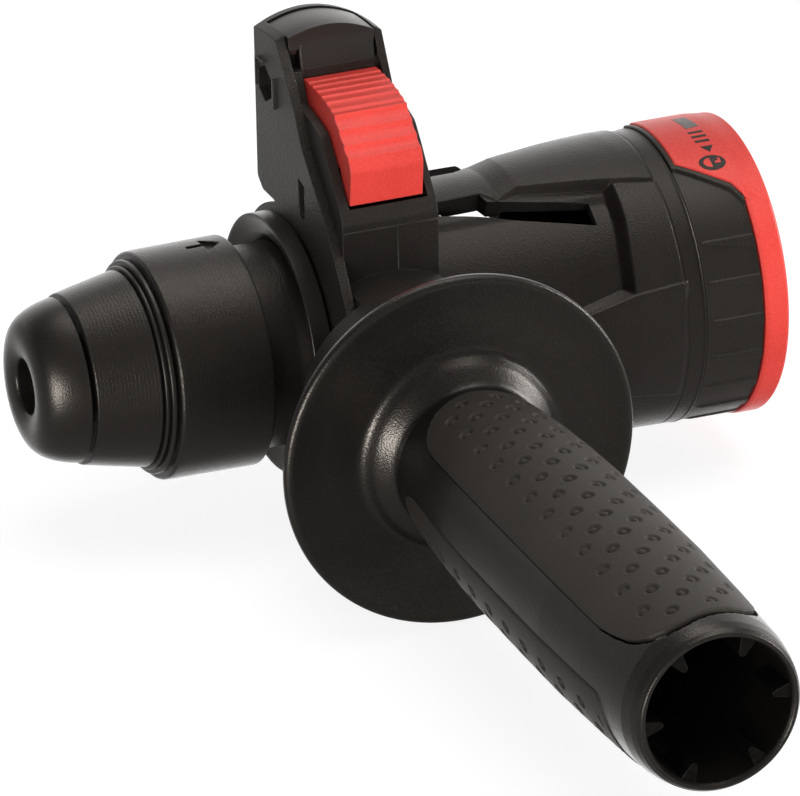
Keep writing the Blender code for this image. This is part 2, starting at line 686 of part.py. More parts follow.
def clamp_body():
    clamp = piece("clamp_body", BLACK, prism(BODY_OUTLINE, PLATE_REAR_X + GAP, CLAMP_REAR_X))
    cut_arch(clamp)
    boolean(clamp, handle_boss(), "UNION")
    cut(clamp, prism(SEAT_CIRCLE, -12.0, 14.0))
    cut(clamp, tube(-5.8, 6.3, 19.0, 23.2, SEG_BIG))  # band groove
    cut(clamp, prism(circle(0, 0, 7.4, 6), -30.6, -21.0, "Y"))  # stud head
    cut(clamp, prism(circle(0, 0, 4.3, SEG_MID), -53.0, -29.0, "Y"))  # stud shank
    # button pocket, open to the near side
    cut(clamp, prism(POCKET_OUTLINE, -6.5, 10.0))
    cut(clamp, prism(CAP_SEAT_OUTLINE, CAP_FRONT_FACE_X - GAP, CAP_REAR_FACE_X + GAP))
    cut(clamp, prism(ROD_HOLE, -12, 14))


def clamp_face_plate():
    plate = piece("clamp_face_plate", BLACK, prism(PLATE_OUTLINE, CLAMP_FRONT_X, PLATE_REAR_X))
    cut_arch(plate)
    cut(plate, prism(SEAT_CIRCLE, -12.0, -8.0))
    cut(plate, prism(ROD_HOLE, -12, -8))
    cut(plate, box((-12, -9.2, 28.8), (-8, -7.0, 37.0)))  # upright slot


def tower_cap():
    cap = piece("tower_cap", SATIN, prism(CAP_OUTLINE, CAP_FRONT_FACE_X, CAP_REAR_FACE_X))
    cut_arch(cap, lift=-0.2)


def release_button():
    shape = prism(BUTTON_OUTLINE, -6.1, 9.15)
    piece("release_button", RED, shape, origin=(SPRING_X, -10.0, BUTTON_Z))
    spring = coil(
        mean_r=3.4, wire_r=0.55, lo=29.9, hi=42.3, turns=5, axis="Z",
        centre=(SPRING_X, SPRING_Y), per_turn=10,
    )
    piece("button_spring", STEEL, spring)


def clamp_band():
    """Thin band around the seat, split at the bottom."""
    band = piece("clamp_band", STEEL, tube(-5.4, 5.9, 21.9, 22.9, SEG_BIG))
    cut(band, box((-7.0, -2.0, -26.0), (7.5, 2.0, -18.0)))


def handle_stud():
    stud = piece("handle_stud", STEEL, prism(circle(0, 0, 7.0, 6), -30.3, -25.95, "Y"))
    join(stud, prism(circle(0, 0, STUD_R, SEG_MID), -73.5, -29.5, "Y"))


# =====================================================================================
# Side handle
# =====================================================================================

# (y, radius) of the grip
GRIP = [
    (-70.0, 15.5), (-86.0, 17.2), (-109.0, 18.25), (-146.0, 18.5), (-165.0, 18.0),
    (-183.0, 17.3), (HANDLE_END_Y + 0.8, 17.0),
]
# (y, radius), over the flange and grip to the open end, then back through the hollow
CORE_PROFILE = [
    (-52.4, 4.35), (-52.4, 14.0), (-53.0, 14.6), (-57.5, 15.2), (-59.4, 18.5), (-59.9, 33.8),
    (-60.5, 35.6), (FLANGE_Y, FLANGE_R), (-63.4, 35.5), (-62.6, 27.0), (-64.0, 21.8),
    (-66.5, 19.2), (-66.2, 16.6), (-67.2, 15.6),
    *GRIP,
    (HANDLE_END_Y, 16.4), (HANDLE_END_Y, 14.9), (-186.6, 14.5), (-150.0, 13.4), (-80.0, 11.6),
    (-76.0, 9.5), (-76.0, 6.8), (-59.6, 6.8), (-59.6, 4.35),
]
# name, first angle, last angle, steps around, first two stations, last station
GRIP_PANELS = [
    ("grip_panel_top", 35.0, 145.0, 7, (-71.0, -76.0), -182.0),
    ("grip_panel_bottom", 179.0, 358.0, 12, (-74.0, -78.0), -177.0),
]
PANEL_MID_STATIONS = (-90.0, -109.0, -146.0, -170.0)
PANEL_END_INSET = 12.0  # degrees taken off each side of the end stations
PANEL_GAP_Y, PANEL_GAP_ANGLE = 0.35, 1.8  # seat clearance, mm and degrees


def grip_r(y):
    for (y0, r0), (y1, r1) in zip(GRIP, GRIP[1:]):
        if y >= y1:
            return r0 + (r1 - r0) * (y - y0) / (y1 - y0)


def grip_offset(offset):
    """Radius function that follows the grip at a distance."""
    return lambda y: grip_r(y) + offset


def grip_panel(core, name, first, last, steps, start_ys, end_y):
    """Soft panel and its seat in the handle core."""
    ys = [*start_ys, *PANEL_MID_STATIONS, end_y]
    rows, seat_rows = [], []
    for y in ys:
        inset = PANEL_END_INSET if y in (ys[0], ys[-1]) else 0.0
        grow_y = {ys[0]: PANEL_GAP_Y, ys[-1]: -PANEL_GAP_Y}.get(y, 0.0)
        t0, t1 = first + inset, last - inset
        rows.append((y, t0, t1))
        seat_rows.append((y + grow_y, t0 - PANEL_GAP_ANGLE, t1 + PANEL_GAP_ANGLE))
    cut(core, patch(seat_rows, grip_offset(-2.1), grip_offset(3.0), steps, polar_y))
    piece(name, SOFT, patch(rows, grip_offset(-1.5), grip_offset(0.1), steps, polar_y))


def side_handle():
    core = piece("handle_core", BLACK, lathe(CORE_PROFILE, SEG_BIG, "Y"))
    for panel in GRIP_PANELS:
        grip_panel(core, *panel)
    # V ribs inside the open end: (angle from the middle, radius) of the corners
    corners = [(0.0, 10.9), (5.0, 15.2), (-5.0, 15.2)]
    for k in range(6):
        mid = 5.0 + 60.0 * k
        points = [polar_y(0, mid + turn, r) for turn, r in corners]
        join(core, prism([(x, z) for x, _, z in points], -186.9, -179.0, "Y"))


def threaded_insert():
    shape = tube(-73.8, -60.0, STUD_R + GAP, 6.5, SEG_SMALL, "Y")
    piece("threaded_insert", BRASS, shape)


# =====================================================================================
# Quick-change lock ring
# =====================================================================================

GROOVE_FLOOR_R, GROOVE_CUT_R = 28.7, 33.0
TONGUE_SEAT = [(65.0, 58.0, 122.0), (71.4, 58.0, 122.0), (79.0, 47.0, 133.0)]
TONGUE = [(67.0, 60.0, 120.0), (71.4, 60.5, 119.5), (78.3, 50.0, 130.0), (79.4, 50.0, 130.0)]


def lock_collar():
    profile = [
        (RING_FRONT_X, 27.9), (RING_FRONT_X, 29.2), (66.8, 29.6), (78.1, 29.6),
        (78.1, RING_IN_R), (67.2, RING_IN_R), (67.2, 27.9),
    ]
    collar = piece("lock_collar", BLACK, lathe(profile, SEG_RING))
    # shallow finger grooves, clear of the tongue of the red ring
    for k in range(11):
        mid = 130.0 + 360.0 * k / 16.5
        rows = [(x, mid - 4, mid + 4) for x in (68.0, 79.0)]
        cut(collar, patch(rows, GROOVE_FLOOR_R, GROOVE_CUT_R, 1))
    cut(collar, patch(TONGUE_SEAT, GROOVE_FLOOR_R, GROOVE_CUT_R, 8))


def lock_ring():
    profile = [
        (RING_SPLIT_X, RING_IN_R), (RING_SPLIT_X, 29.8), (78.8, RING_R), (83.1, RING_R + 0.1),
        (RING_REAR_X, 29.7), (RING_REAR_X, RING_IN_R),
    ]
    ring = piece("lock_ring", RED, lathe(profile, SEG_RING))
    join(ring, patch(TONGUE, 29.3, 30.6, 8))
    # lugs on the inside
    for k in range(3):
        mid = 30.0 + 120.0 * k
        rows = [(x, mid - 14, mid + 14) for x in (80.2, 83.2)]
        join(ring, patch(rows, 22.4, 26.0, 6))


# =====================================================================================
# Assembly
# =====================================================================================

# Each moving body hangs on an empty on its joint's axis: empty, place, members
BODIES = [
    ("spindle_axis", (0, 0, 0), [
        "spindle", "dust_cap", "locking_ball_top", "locking_ball_bottom", "spring_seat_washer",
        "sleeve_spring", "spindle_gear", "gear_circlip"]),
    ("lock_sleeve_axis", (BALL_X, 0, 0), [
        "sleeve_cone", "locking_ring", "sleeve_step_ring", "locking_sleeve"]),
    ("striker_axis", (8, 0, 0), ["striker", "striker_o_ring"]),
    ("piston_axis", (WOBBLE_X, 0, 0), ["piston", "piston_o_ring"]),
    ("intermediate_axis", LAY_ORIGIN, ["intermediate_shaft", "intermediate_gear", "wobble_hub"]),
    ("input_axis", (60, 0, 0), ["input_pinion_shaft", "drive_dog"]),
    ("clamp_axis", (0, 0, 0), [
        "clamp_body", "clamp_face_plate", "tower_cap", "clamp_band", "handle_stud",
        "button_spring"]),
    ("handle_axis", (0, -100, 0), [
        "handle_core", "grip_panel_top", "grip_panel_bottom", "threaded_insert"]),
    ("lock_ring_axis", (75, 0, 0), ["lock_collar", "lock_ring"]),
]


def hang_bodies():
    for name, at, members in BODIES:
        empty = bpy.data.objects.new(name, None)
        empty.empty_display_size = 0.01
        empty.location = Vector(at) * MM
        SCENE.objects.link(empty)
        for member in members:
            child = bpy.data.objects[member]
            child.parent = empty
            child.matrix_parent_inverse = Matrix.Translation(-Vector(at) * MM)


def move_origin_to_drive_face():
    for obj in SCENE.objects:
        if obj.parent is None:
            obj.location.x -= DRIVE_FACE_X * MM
    bpy.context.view_layer.update()


BUILDERS = [
    gear_housing, front_collar, plain_rings, bearing_bridge, spindle_needle_bush, rear_adapter,
    adapter_screws, spindle, locking_balls, tool_holder, impact_bolt, striker, piston,
    wobble_hub, wobble_ring, spindle_gear, intermediate_shaft, intermediate_gear,
    input_pinion_shaft, drive_dog, clamp_body, clamp_face_plate, tower_cap, release_button,
    clamp_band, handle_stud, side_handle, threaded_insert, lock_collar, lock_ring,
]
for build in BUILDERS:
    build()
hang_bodies()
move_origin_to_drive_face()
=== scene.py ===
"""Looks of a quick-change rotary-hammer head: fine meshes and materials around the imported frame.

The tool axis is X, with the chuck at the front (-X) and the lock ring at the rear (+X). The side
handle runs towards -Y, the near side, and +Z is up. Pieces are drawn in millimetres around the
crossing of the tool and handle axes. Lights and camera are in metres.
"""
import json
import math

import bmesh
import bpy
import numpy as np
from mathutils import Matrix, Vector


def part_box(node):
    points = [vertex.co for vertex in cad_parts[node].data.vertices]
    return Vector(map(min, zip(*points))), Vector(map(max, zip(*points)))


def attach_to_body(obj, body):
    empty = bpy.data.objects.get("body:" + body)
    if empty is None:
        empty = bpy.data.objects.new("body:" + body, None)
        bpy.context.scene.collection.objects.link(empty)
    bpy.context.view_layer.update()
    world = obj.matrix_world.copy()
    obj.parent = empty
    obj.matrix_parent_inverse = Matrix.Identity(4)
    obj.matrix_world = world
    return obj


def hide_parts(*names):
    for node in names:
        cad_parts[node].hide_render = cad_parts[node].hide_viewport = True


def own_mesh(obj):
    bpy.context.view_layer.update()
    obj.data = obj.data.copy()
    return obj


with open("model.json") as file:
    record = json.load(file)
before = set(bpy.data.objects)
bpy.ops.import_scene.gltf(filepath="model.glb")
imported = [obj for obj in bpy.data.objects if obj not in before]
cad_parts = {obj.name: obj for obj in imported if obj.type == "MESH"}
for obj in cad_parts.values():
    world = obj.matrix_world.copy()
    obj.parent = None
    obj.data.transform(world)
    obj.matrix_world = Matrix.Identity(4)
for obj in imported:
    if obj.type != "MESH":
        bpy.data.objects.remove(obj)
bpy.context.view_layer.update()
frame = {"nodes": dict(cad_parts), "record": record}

MM = 0.001
CAP_TIP = 67.6 * MM  # from the dust cap's tip back to the crossing of the axes
CROSSING_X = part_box("dust_cap")[0].x + CAP_TIP

# =====================================================================================
# Materials
# =====================================================================================
finishes = {}  # materials by name


def new_material(name):
    material = bpy.data.materials.new(name)
    material.use_nodes = True
    finishes[name] = material
    return material.node_tree, material.node_tree.nodes["Principled BSDF"]


def feed(tree, target, inputs):
    """Links each socket given to an input of target, and sets each plain value."""
    for key, value in inputs.items():
        if isinstance(value, bpy.types.NodeSocket):
            tree.links.new(value, target.inputs[key])
        else:
            target.inputs[key].default_value = value


def node(tree, kind, inputs, **settings):
    made = tree.nodes.new(kind)
    for key, value in settings.items():
        setattr(made, key, value)
    feed(tree, made, inputs)
    return made


def calculate(tree, operation, *values):
    inputs = dict(enumerate(values))
    return node(tree, "ShaderNodeMath", inputs, operation=operation).outputs[0]


def noise(tree, vector, scale, detail, roughness=0.5):
    inputs = {"Scale": scale, "Detail": detail, "Roughness": roughness, "Vector": vector}
    return node(tree, "ShaderNodeTexNoise", inputs).outputs["Fac"]


def mix_colour(tree, factor, first, second):
    first, second = ((*c, 1.0) if isinstance(c, tuple) else c for c in (first, second))
    inputs = {"Factor": factor, 6: first, 7: second}  # 6 and 7 are the colours A and B
    return node(tree, "ShaderNodeMix", inputs, data_type="RGBA").outputs[2]


def ramp(tree, source, *stops):
    """Two stops of (position, grey)."""
    made = node(tree, "ShaderNodeValToRGB", {"Fac": source})
    for element, (position, grey) in zip(made.color_ramp.elements, stops):
        element.position = position
        element.color = (grey, grey, grey, 1)
    return made.outputs["Color"]


def shade(colour, gain, lift=0.0):
    return tuple(min(1, c * gain + lift) for c in Vector(colour))


def rounded_normal(tree, radius_mm):
    made = node(tree, "ShaderNodeBevel", {"Radius": radius_mm * MM}, samples=4)
    return made.outputs["Normal"]


def cloudy_roughness(tree, surface, cloud, low, high):
    made = node(tree, "ShaderNodeMapRange", {"To Min": low, "To Max": high, "Value": cloud})
    feed(tree, surface, {"Roughness": made.outputs["Result"]})


def add_bump(tree, surface, height, normal, strength, distance):
    inputs = {"Strength": strength, "Distance": distance, "Height": height, "Normal": normal}
    feed(tree, surface, {"Normal": node(tree, "ShaderNodeBump", inputs).outputs["Normal"]})


def moulded(name, colour, rough, grain=0.10, grain_mm=0.22, spec=0.5, edge_glint=0.35, edge_mm=0.25,
            edge_glint_colour=None, streak=0.0, tint=(1.0, 0.90, 0.80, 1.0)):
    """Moulded plastic: spark-eroded grain, cloudy sheen and lighter edges, which are a painted
    highlight in patches.

    grain is the strength of the relief and grain_mm its size, edge_glint the share of
    edge_glint_colour, a painted highlight, on edges of radius edge_mm, and streak the strength of
    fine lines in the relief.
    """
    tree, surface = new_material(name)
    place = tree.nodes.new("ShaderNodeTexCoord").outputs["Object"]
    cloud = noise(tree, place, scale=38.0, detail=5.0, roughness=0.6)
    fine = noise(tree, place, scale=1.0 / (grain_mm * MM * 4), detail=3.0, roughness=0.65)
    pits = node(tree, "ShaderNodeTexVoronoi",
                {"Scale": 1.0 / (grain_mm * MM * 3.2), "Vector": place})
    # cloudy colour with lighter specks
    clouded = ramp(tree, cloud, (0.3, 0.0), (0.72, 1.0))
    base = mix_colour(tree, clouded, shade(colour, 0.84), shade(colour, 1.32, 0.002))
    speck = ramp(tree, fine, (0.45, 0.0), (0.75, 1.0))
    base = mix_colour(tree, speck, base, shade(colour, 1.5, 0.006))
    # painted highlight on the edges, from how far a rounded normal leans away from the face,
    # broken up in patches
    normal = rounded_normal(tree, edge_mm)
    face = tree.nodes.new("ShaderNodeNewGeometry").outputs["Normal"]
    lean = node(tree, "ShaderNodeVectorMath", {0: normal, 1: face}, operation="DOT_PRODUCT")
    edge = ramp(tree, lean.outputs["Value"], (0.80, 1.0), (0.985, 0.0))
    glint_patches = noise(tree, place, scale=160.0, detail=4.0)
    patchy = ramp(tree, glint_patches, (0.35, 0.25), (0.62, 1.0))
    glint_mask = calculate(tree, "MULTIPLY", edge, patchy)
    amount = calculate(tree, "MULTIPLY", glint_mask, edge_glint)
    # lay the painted edge highlight into the base colour
    base = mix_colour(tree, amount, base, edge_glint_colour or shade(colour, 2.6, 0.03))
    cloudy_roughness(tree, surface, cloud, low=rough - 0.07, high=rough + 0.09)
    feed(tree, surface, {
        "Base Color": base, "Specular IOR Level": spec, "Specular Tint": tint,
        "Coat Weight": 0.0, "Coat Roughness": 0.25,
    })
    height = calculate(tree, "ADD", fine, pits.outputs["Distance"])
    if streak:
        wave = node(tree, "ShaderNodeTexWave",
                    {"Scale": 420.0, "Distortion": 1.2, "Vector": place}, bands_direction="X")
        height = calculate(tree, "MULTIPLY_ADD", wave.outputs["Fac"], streak, height)
    add_bump(tree, surface, height, normal, strength=grain, distance=0.0001)


def metal(name, colour, rough, amount=0.3, cast=False):
    """Turned, ground or cast metal: amount is the strength of its tool marks."""
    tree, surface = new_material(name)
    place = tree.nodes.new("ShaderNodeTexCoord").outputs["Object"]
    cloud = noise(tree, place, scale=70.0, detail=5.0)
    clouded = ramp(tree, cloud, (0.3, 0.0), (0.75, 1.0))
    base = mix_colour(tree, clouded, shade(colour, 0.78), shade(colour, 1.1))
    feed(tree, surface, {"Metallic": 1.0, "Base Color": base})
    cloudy_roughness(tree, surface, cloud, low=rough - 0.08, high=rough + 0.14)
    if cast:
        marks = noise(tree, place, scale=1600.0, detail=3.0)
    else:
        wave = node(tree, "ShaderNodeTexWave",
                    {"Scale": 900.0, "Distortion": 2.0, "Vector": place}, bands_direction="X")
        marks = wave.outputs["Fac"]
    normal = rounded_normal(tree, 0.15)
    add_bump(tree, surface, marks, normal, strength=amount, distance=0.00005)


EDGE_GLINT_GREY = (0.135, 0.122, 0.108)  # warm grey of the painted highlight on black edges
# edge_glint and edge_glint_colour below set the painted highlight on the edges of each plastic
moulded("black_sleeve", (0.0112, 0.0097, 0.0083), rough=0.33, grain=0.45, grain_mm=0.09,
        edge_glint=0.55, streak=0.25, edge_glint_colour=EDGE_GLINT_GREY)
moulded("black_rubber_cap", (0.0098, 0.0086, 0.0076), rough=0.33, grain=0.30, grain_mm=0.08,
        spec=0.52, edge_glint=0.10)
moulded("black_housing", (0.0092, 0.0079, 0.0068), rough=0.37, grain=0.50, grain_mm=0.10,
        spec=0.42, edge_glint=0.75, edge_glint_colour=EDGE_GLINT_GREY, edge_mm=0.2)
moulded("black_clamp", (0.0112, 0.0096, 0.0083), rough=0.47, grain=0.60, grain_mm=0.10,
        spec=0.42, edge_glint=0.65, edge_glint_colour=EDGE_GLINT_GREY, edge_mm=0.2)
moulded("black_face_plate", (0.0148, 0.0130, 0.0112), rough=0.46, grain=1.0, grain_mm=0.13,
        spec=0.45, edge_glint=0.65, edge_glint_colour=EDGE_GLINT_GREY, edge_mm=0.2)
moulded("black_handle", (0.0070, 0.0062, 0.0054), rough=0.322, grain=0.32, grain_mm=0.12)
moulded("satin_black", (0.0120, 0.0105, 0.0090), rough=0.36, grain=0.18, grain_mm=0.09,
        spec=0.55, edge_glint=0.60, edge_glint_colour=EDGE_GLINT_GREY, edge_mm=0.18)
moulded("soft_grip", (0.0290, 0.0250, 0.0213), rough=0.60, grain=0.16, grain_mm=0.08,
        spec=0.35, edge_glint=0.12)
moulded("black_collar", (0.0108, 0.0094, 0.0081), rough=0.42, grain=0.22, grain_mm=0.09,
        edge_glint=0.70, streak=0.5, edge_glint_colour=EDGE_GLINT_GREY, edge_mm=0.2)
moulded("dark_inside", (0.0090, 0.0080, 0.0070), rough=0.70, spec=0.15, edge_glint=0.0)
moulded("gloss_black", (0.0026, 0.0022, 0.0019), rough=0.30, grain=0.05, spec=0.45, edge_glint=0.60,
        edge_mm=0.14, edge_glint_colour=(0.12, 0.11, 0.10))
# ribs in the bore's end: darker than the handle's black as painted shade of the bore, with a
# painted highlight on their edges
moulded("rib_shaded_black", (0.0020, 0.0018, 0.0016), rough=0.50, grain=0.05, spec=0.10, edge_glint=1.0,
        edge_mm=0.15, edge_glint_colour=(0.22, 0.205, 0.19))
moulded("red_plastic", (0.920, 0.058, 0.044), rough=0.46, grain=0.08, grain_mm=0.10, spec=0.4,
        edge_glint=0.45, edge_glint_colour=(0.96, 0.24, 0.20), tint=(1.0, 0.95, 0.92, 1.0))
moulded("seal_rubber", (0.008, 0.007, 0.006), rough=0.6)
moulded("black_print", (0.012, 0.008, 0.007), rough=0.5, grain=0.05, edge_glint=0.0)
moulded("grey_print", (0.17, 0.145, 0.135), rough=0.5, grain=0.05, edge_glint=0.0)
metal("ground_steel", (0.56, 0.56, 0.57), rough=0.30)
metal("blackened_steel", (0.13, 0.13, 0.135), rough=0.40, amount=0.2)
metal("cast_aluminium", (0.60, 0.60, 0.61), rough=0.48, cast=True)
metal("turned_brass", (0.76, 0.55, 0.26), rough=0.32)

SLOT_FINISH = {
    "black_plastic": "black_clamp", "satin_plastic": "satin_black", "soft_grip": "soft_grip",
    "rubber": "seal_rubber", "red_plastic": "red_plastic", "steel": "ground_steel",
    "dark_steel": "blackened_steel", "cast_aluminium": "cast_aluminium", "brass": "turned_brass",
}
for part in frame["record"]["subparts"]:
    shown = frame["nodes"].get(part["node"])
    if shown is not None:
        shown.data.materials.clear()
        shown.data.materials.append(finishes[SLOT_FINISH[part["material_slot"]]])
        shown.data.shade_smooth()
        shown.data.set_sharp_from_angle(angle=math.radians(32))

# =====================================================================================
# Outlines and curves
# =====================================================================================


def rounded(outline, steps=6):
    """Closed outline of (u, v) or (u, v, radius): corners with a radius become arcs."""
    corners = [tuple(c) + (0,) * (3 - len(c)) for c in outline]
    out = []
    for i, (u, v, radius) in enumerate(corners):
        here = Vector((u, v))
        if radius <= 0:
            out.append(here)
            continue
        before = Vector(corners[i - 1][:2]) - here
        after = Vector(corners[(i + 1) % len(corners)][:2]) - here
        before_length, after_length = before.length, after.length
        if before_length < 1e-6 or after_length < 1e-6:
            out.append(here)
            continue
        before.normalize()
        after.normalize()
        corner = math.acos(max(-1, min(1, before.dot(after))))
        if corner > math.pi - 0.02:
            out.append(here)
            continue
        # the arc takes less than half of either side
        trim = min(radius / math.tan(corner / 2), 0.49 * before_length, 0.49 * after_length)
        fitted = trim * math.tan(corner / 2)
        centre = here + (before + after).normalized() * (fitted / math.sin(corner / 2))
        start, end = here + before * trim - centre, here + after * trim - centre
        sweep = math.pi - corner
        turn = 1 if start.x * end.y - start.y * end.x > 0 else -1
        for j in range(steps + 1):
            t = turn * sweep * j / steps
            cos, sin = math.cos(t), math.sin(t)
            arm = Vector((start.x * cos - start.y * sin, start.x * sin + start.y * cos))
            out.append(centre + arm)
    return [(p.x, p.y) for p in out]


def smooth_curve(points, steps):
    """Catmull-Rom through (u, v) points."""
    p = [Vector(q) for q in points]
    p = [2 * p[0] - p[1]] + p + [2 * p[-1] - p[-2]]
    out = []
    for i in range(1, len(p) - 2):
        a, b, c, d = p[i - 1:i + 3]
        for j in range(steps):
            t = j / steps
            out.append(0.5 * ((2 * b) + (c - a) * t + (2 * a - 5 * b + 4 * c - d) * t * t
                              + (3 * b - a - 3 * c + d) * t ** 3))
    out.append(p[-2])
    return [(q.x, q.y) for q in out]


def circle(u, v, r, count, start=0.0):
    angles = [start + math.tau * i / count for i in range(count)]
    return [(u + r * math.cos(t), v + r * math.sin(t)) for t in angles]


def rectangle(u0, u1, v0, v1):
    return [(u0, v0), (u1, v0), (u1, v1), (u0, v1)]


def around_x(x, degrees, r):
    """Point about the tool axis: 0 degrees is the near side, 90 the top, 180 the far side."""
    t = np.radians(degrees)
    return np.stack([x + 0 * r, -r * np.cos(t), r * np.sin(t)], -1)


def around_y(y, degrees, r):
    """Point about the handle axis: 0 degrees is the rear, 90 the top, 180 the front."""
    t = np.radians(degrees)
    return np.stack([r * np.cos(t), y + 0 * r, r * np.sin(t)], -1)


def smoothstep(low, high, x):
    t = np.clip((x - low) / (high - low), 0, 1)
    return t * t * (3 - 2 * t)


def follow(x, table):
    """Value at x along a table of (position, value)."""
    return np.interp(x, *np.transpose(table))


def depth_inside(u, v, polygon):
    """Signed distance to a polygon's edge, positive inside."""
    corners = np.asarray(polygon, float)
    nearest = np.full(np.shape(u), 1e9)
    within = np.zeros(np.shape(u), bool)
    for (u0, v0), (u1, v1) in zip(corners, np.roll(corners, -1, 0)):
        du, dv = u1 - u0, v1 - v0
        t = np.clip(((u - u0) * du + (v - v0) * dv) / (du * du + dv * dv + 1e-12), 0, 1)
        nearest = np.minimum(nearest, np.hypot(u - u0 - t * du, v - v0 - t * dv))
        within ^= ((v0 > v) != (v1 > v)) & (u < (u1 - u0) * (v - v0) / (v1 - v0 + 1e-12) + u0)
    return np.where(within, nearest, -nearest)


ARC = 28.0 * math.pi / 180  # mm of arc in a degree, on the housing


def patch_depth(x, degrees, patch, arc=ARC):
    """Depth in mm inside a patch of (x, degrees) on the unrolled surface."""
    return depth_inside(x, degrees * arc, [(px, t * arc) for px, t in patch])


def with_mirror(edge):
    """Closes a near-side edge of (x, degrees) with its mirror image on the far side."""
    return edge + [(x, 180 - t) for x, t in reversed(edge)]


# =====================================================================================
# Mesh tools
# =====================================================================================


def polish(obj, sharp=38.0):
    obj.data.shade_smooth()
    obj.data.set_sharp_from_angle(angle=math.radians(sharp))
    weighted = obj.modifiers.new("normals", "WEIGHTED_NORMAL")
    weighted.keep_sharp = True
    weighted.weight = 60
    return obj


def make(name, points, faces, material, sharp=38.0):
    """Points in drawing millimetres, faces as index lists, material by name or None."""
    placed = np.asarray(points, float) * MM
    placed[:, 0] += CROSSING_X
    mesh = bpy.data.meshes.new(name)
    mesh.from_pydata(placed.tolist(), [], [list(map(int, f)) for f in faces])
    bm = bmesh.new()
    bm.from_mesh(mesh)
    bmesh.ops.remove_doubles(bm, verts=bm.verts, dist=2e-7)
    bmesh.ops.recalc_face_normals(bm, faces=bm.faces)
    bm.to_mesh(mesh)
    bm.free()
    obj = bpy.data.objects.new(name, mesh)
    bpy.context.scene.collection.objects.link(obj)
    if material:
        mesh.materials.append(finishes[material])
    return polish(obj, sharp)


def band(a, b, size):
    """Faces between two closed rings of points that start at indices a and b."""
    return [(a + i, a + (i + 1) % size, b + (i + 1) % size, b + i) for i in range(size)]


def loft(name, loops, material):
    """Solid through equal loops of points, capped at both ends."""
    size, total = len(loops[0]), len(loops) * len(loops[0])
    faces = [list(range(size)), list(range(total - 1, total - 1 - size, -1))]
    for start in range(0, total - size, size):
        faces += band(start, start + size, size)
    return make(name, np.concatenate(loops), faces, material)


def prism(name, outline, low, high, material=None, axis="X"):
    """Outline of (y, z), (x, z) or (x, y) drawn out along X, Y or Z."""
    place = {
        "X": lambda u, v, w: (w, u, v),
        "Y": lambda u, v, w: (u, w, v),
        "Z": lambda u, v, w: (u, v, w),
    }[axis]
    return loft(name, [[place(u, v, w) for u, v in outline] for w in (low, high)], material)


def turned_faces(rings, size, closed=True):
    count = rings if closed else rings - 1
    return [face for i in range(count) for face in band(i * size, (i + 1) % rings * size, size)]


def lathe(name, profile, material, segments=168, centre=(0.0, 0.0)):
    """Profile of (x, r) turned about X. It is closed unless both its ends lie on the axis."""
    profile = np.array(profile, float)
    x, r = np.repeat(profile, segments, 0).T
    t = np.tile(np.linspace(0, math.tau, segments, endpoint=False), len(profile))
    points = np.stack([x, centre[0] + r * np.cos(t), centre[1] + r * np.sin(t)], 1)
    closed = profile[0, 1] >= 1e-9 or profile[-1, 1] >= 1e-9
    return make(name, points, turned_faces(len(profile), segments, closed), material)


def turned_relief(name, rows, degrees, point, material, sharp):
    """Closed surface of rows (position, radius), where a radius may change with the angle."""
    size = len(degrees)
    position = np.array([np.full(size, a) for a, _ in rows])
    radius = np.array([np.full(size, r) for _, r in rows])
    points = point(position, np.broadcast_to(degrees, position.shape), radius).reshape(-1, 3)
    return make(name, points, turned_faces(len(rows), size), material, sharp)


def sheet(name, along, degrees, outer, inner, point, material, sharp=38.0):
    """Curved block on a grid of position and angle, between an outer and an inner radius."""
    points = np.concatenate([point(along, degrees, r).reshape(-1, 3) for r in (outer, inner)])
    below = along.size
    index = np.arange(below).reshape(along.shape)
    a, b, c, d = (g.ravel() for g in
                  (index[:-1, :-1], index[1:, :-1], index[1:, 1:], index[:-1, 1:]))
    faces = np.stack([a, b, c, d], 1).tolist()
    faces += (np.stack([d, c, b, a], 1) + below).tolist()
    rim = [*index[0, :], *index[1:, -1], *index[-1, -2::-1], *index[-2:0:-1, 0]]
    faces += [(p, q, q + below, p + below) for p, q in zip(rim, rim[1:] + rim[:1])]
    return make(name, points, faces, material, sharp)


def curved_cutter(name, rows, inner, outer, steps, per=1):
    """Block about the tool axis with rows (x, first degree, last degree), per steps a row."""
    fine = []
    for row, following in zip(rows, rows[1:]):
        for j in range(per):
            fine.append([p + (q - p) * (j / per) for p, q in zip(row, following)])
    fine.append(rows[-1])
    along = np.array([[x] * (steps + 1) for x, _, _ in fine], float)
    degrees = np.array([np.linspace(first, last, steps + 1) for _, first, last in fine])
    return sheet(name, along, degrees, outer, inner, around_x, None)


def bake(obj, own_materials=True):
    """Applies the modifiers. With own_materials the materials from before are kept."""
    bpy.context.view_layer.update()
    graph = bpy.context.evaluated_depsgraph_get()
    mesh = bpy.data.meshes.new_from_object(obj.evaluated_get(graph))
    obj.modifiers.clear()
    materials = list(obj.data.materials)
    obj.data = mesh
    if own_materials:
        mesh.materials.clear()
        for material in materials:
            mesh.materials.append(material)


def boolean(target, tool, operation, inside=None):
    """inside names the material of the faces that a cut leaves."""
    target.modifiers.clear()
    modifier = target.modifiers.new("b", "BOOLEAN")
    modifier.operation = operation
    modifier.object = tool
    modifier.solver = "EXACT"
    modifier.material_mode = "TRANSFER" if inside else "INDEX"
    if inside:
        tool.data.materials.clear()
        tool.data.materials.append(finishes[inside])
    tool.modifiers.clear()
    bake(target, own_materials=not inside)
    if not inside:
        polygons = target.data.polygons
        polygons.foreach_set("material_index", np.zeros(len(polygons), np.int32))
    bpy.data.objects.remove(tool, do_unlink=True)


def cut(target, *tools, inside=None):
    for tool in tools:
        boolean(target, tool, "DIFFERENCE", inside)


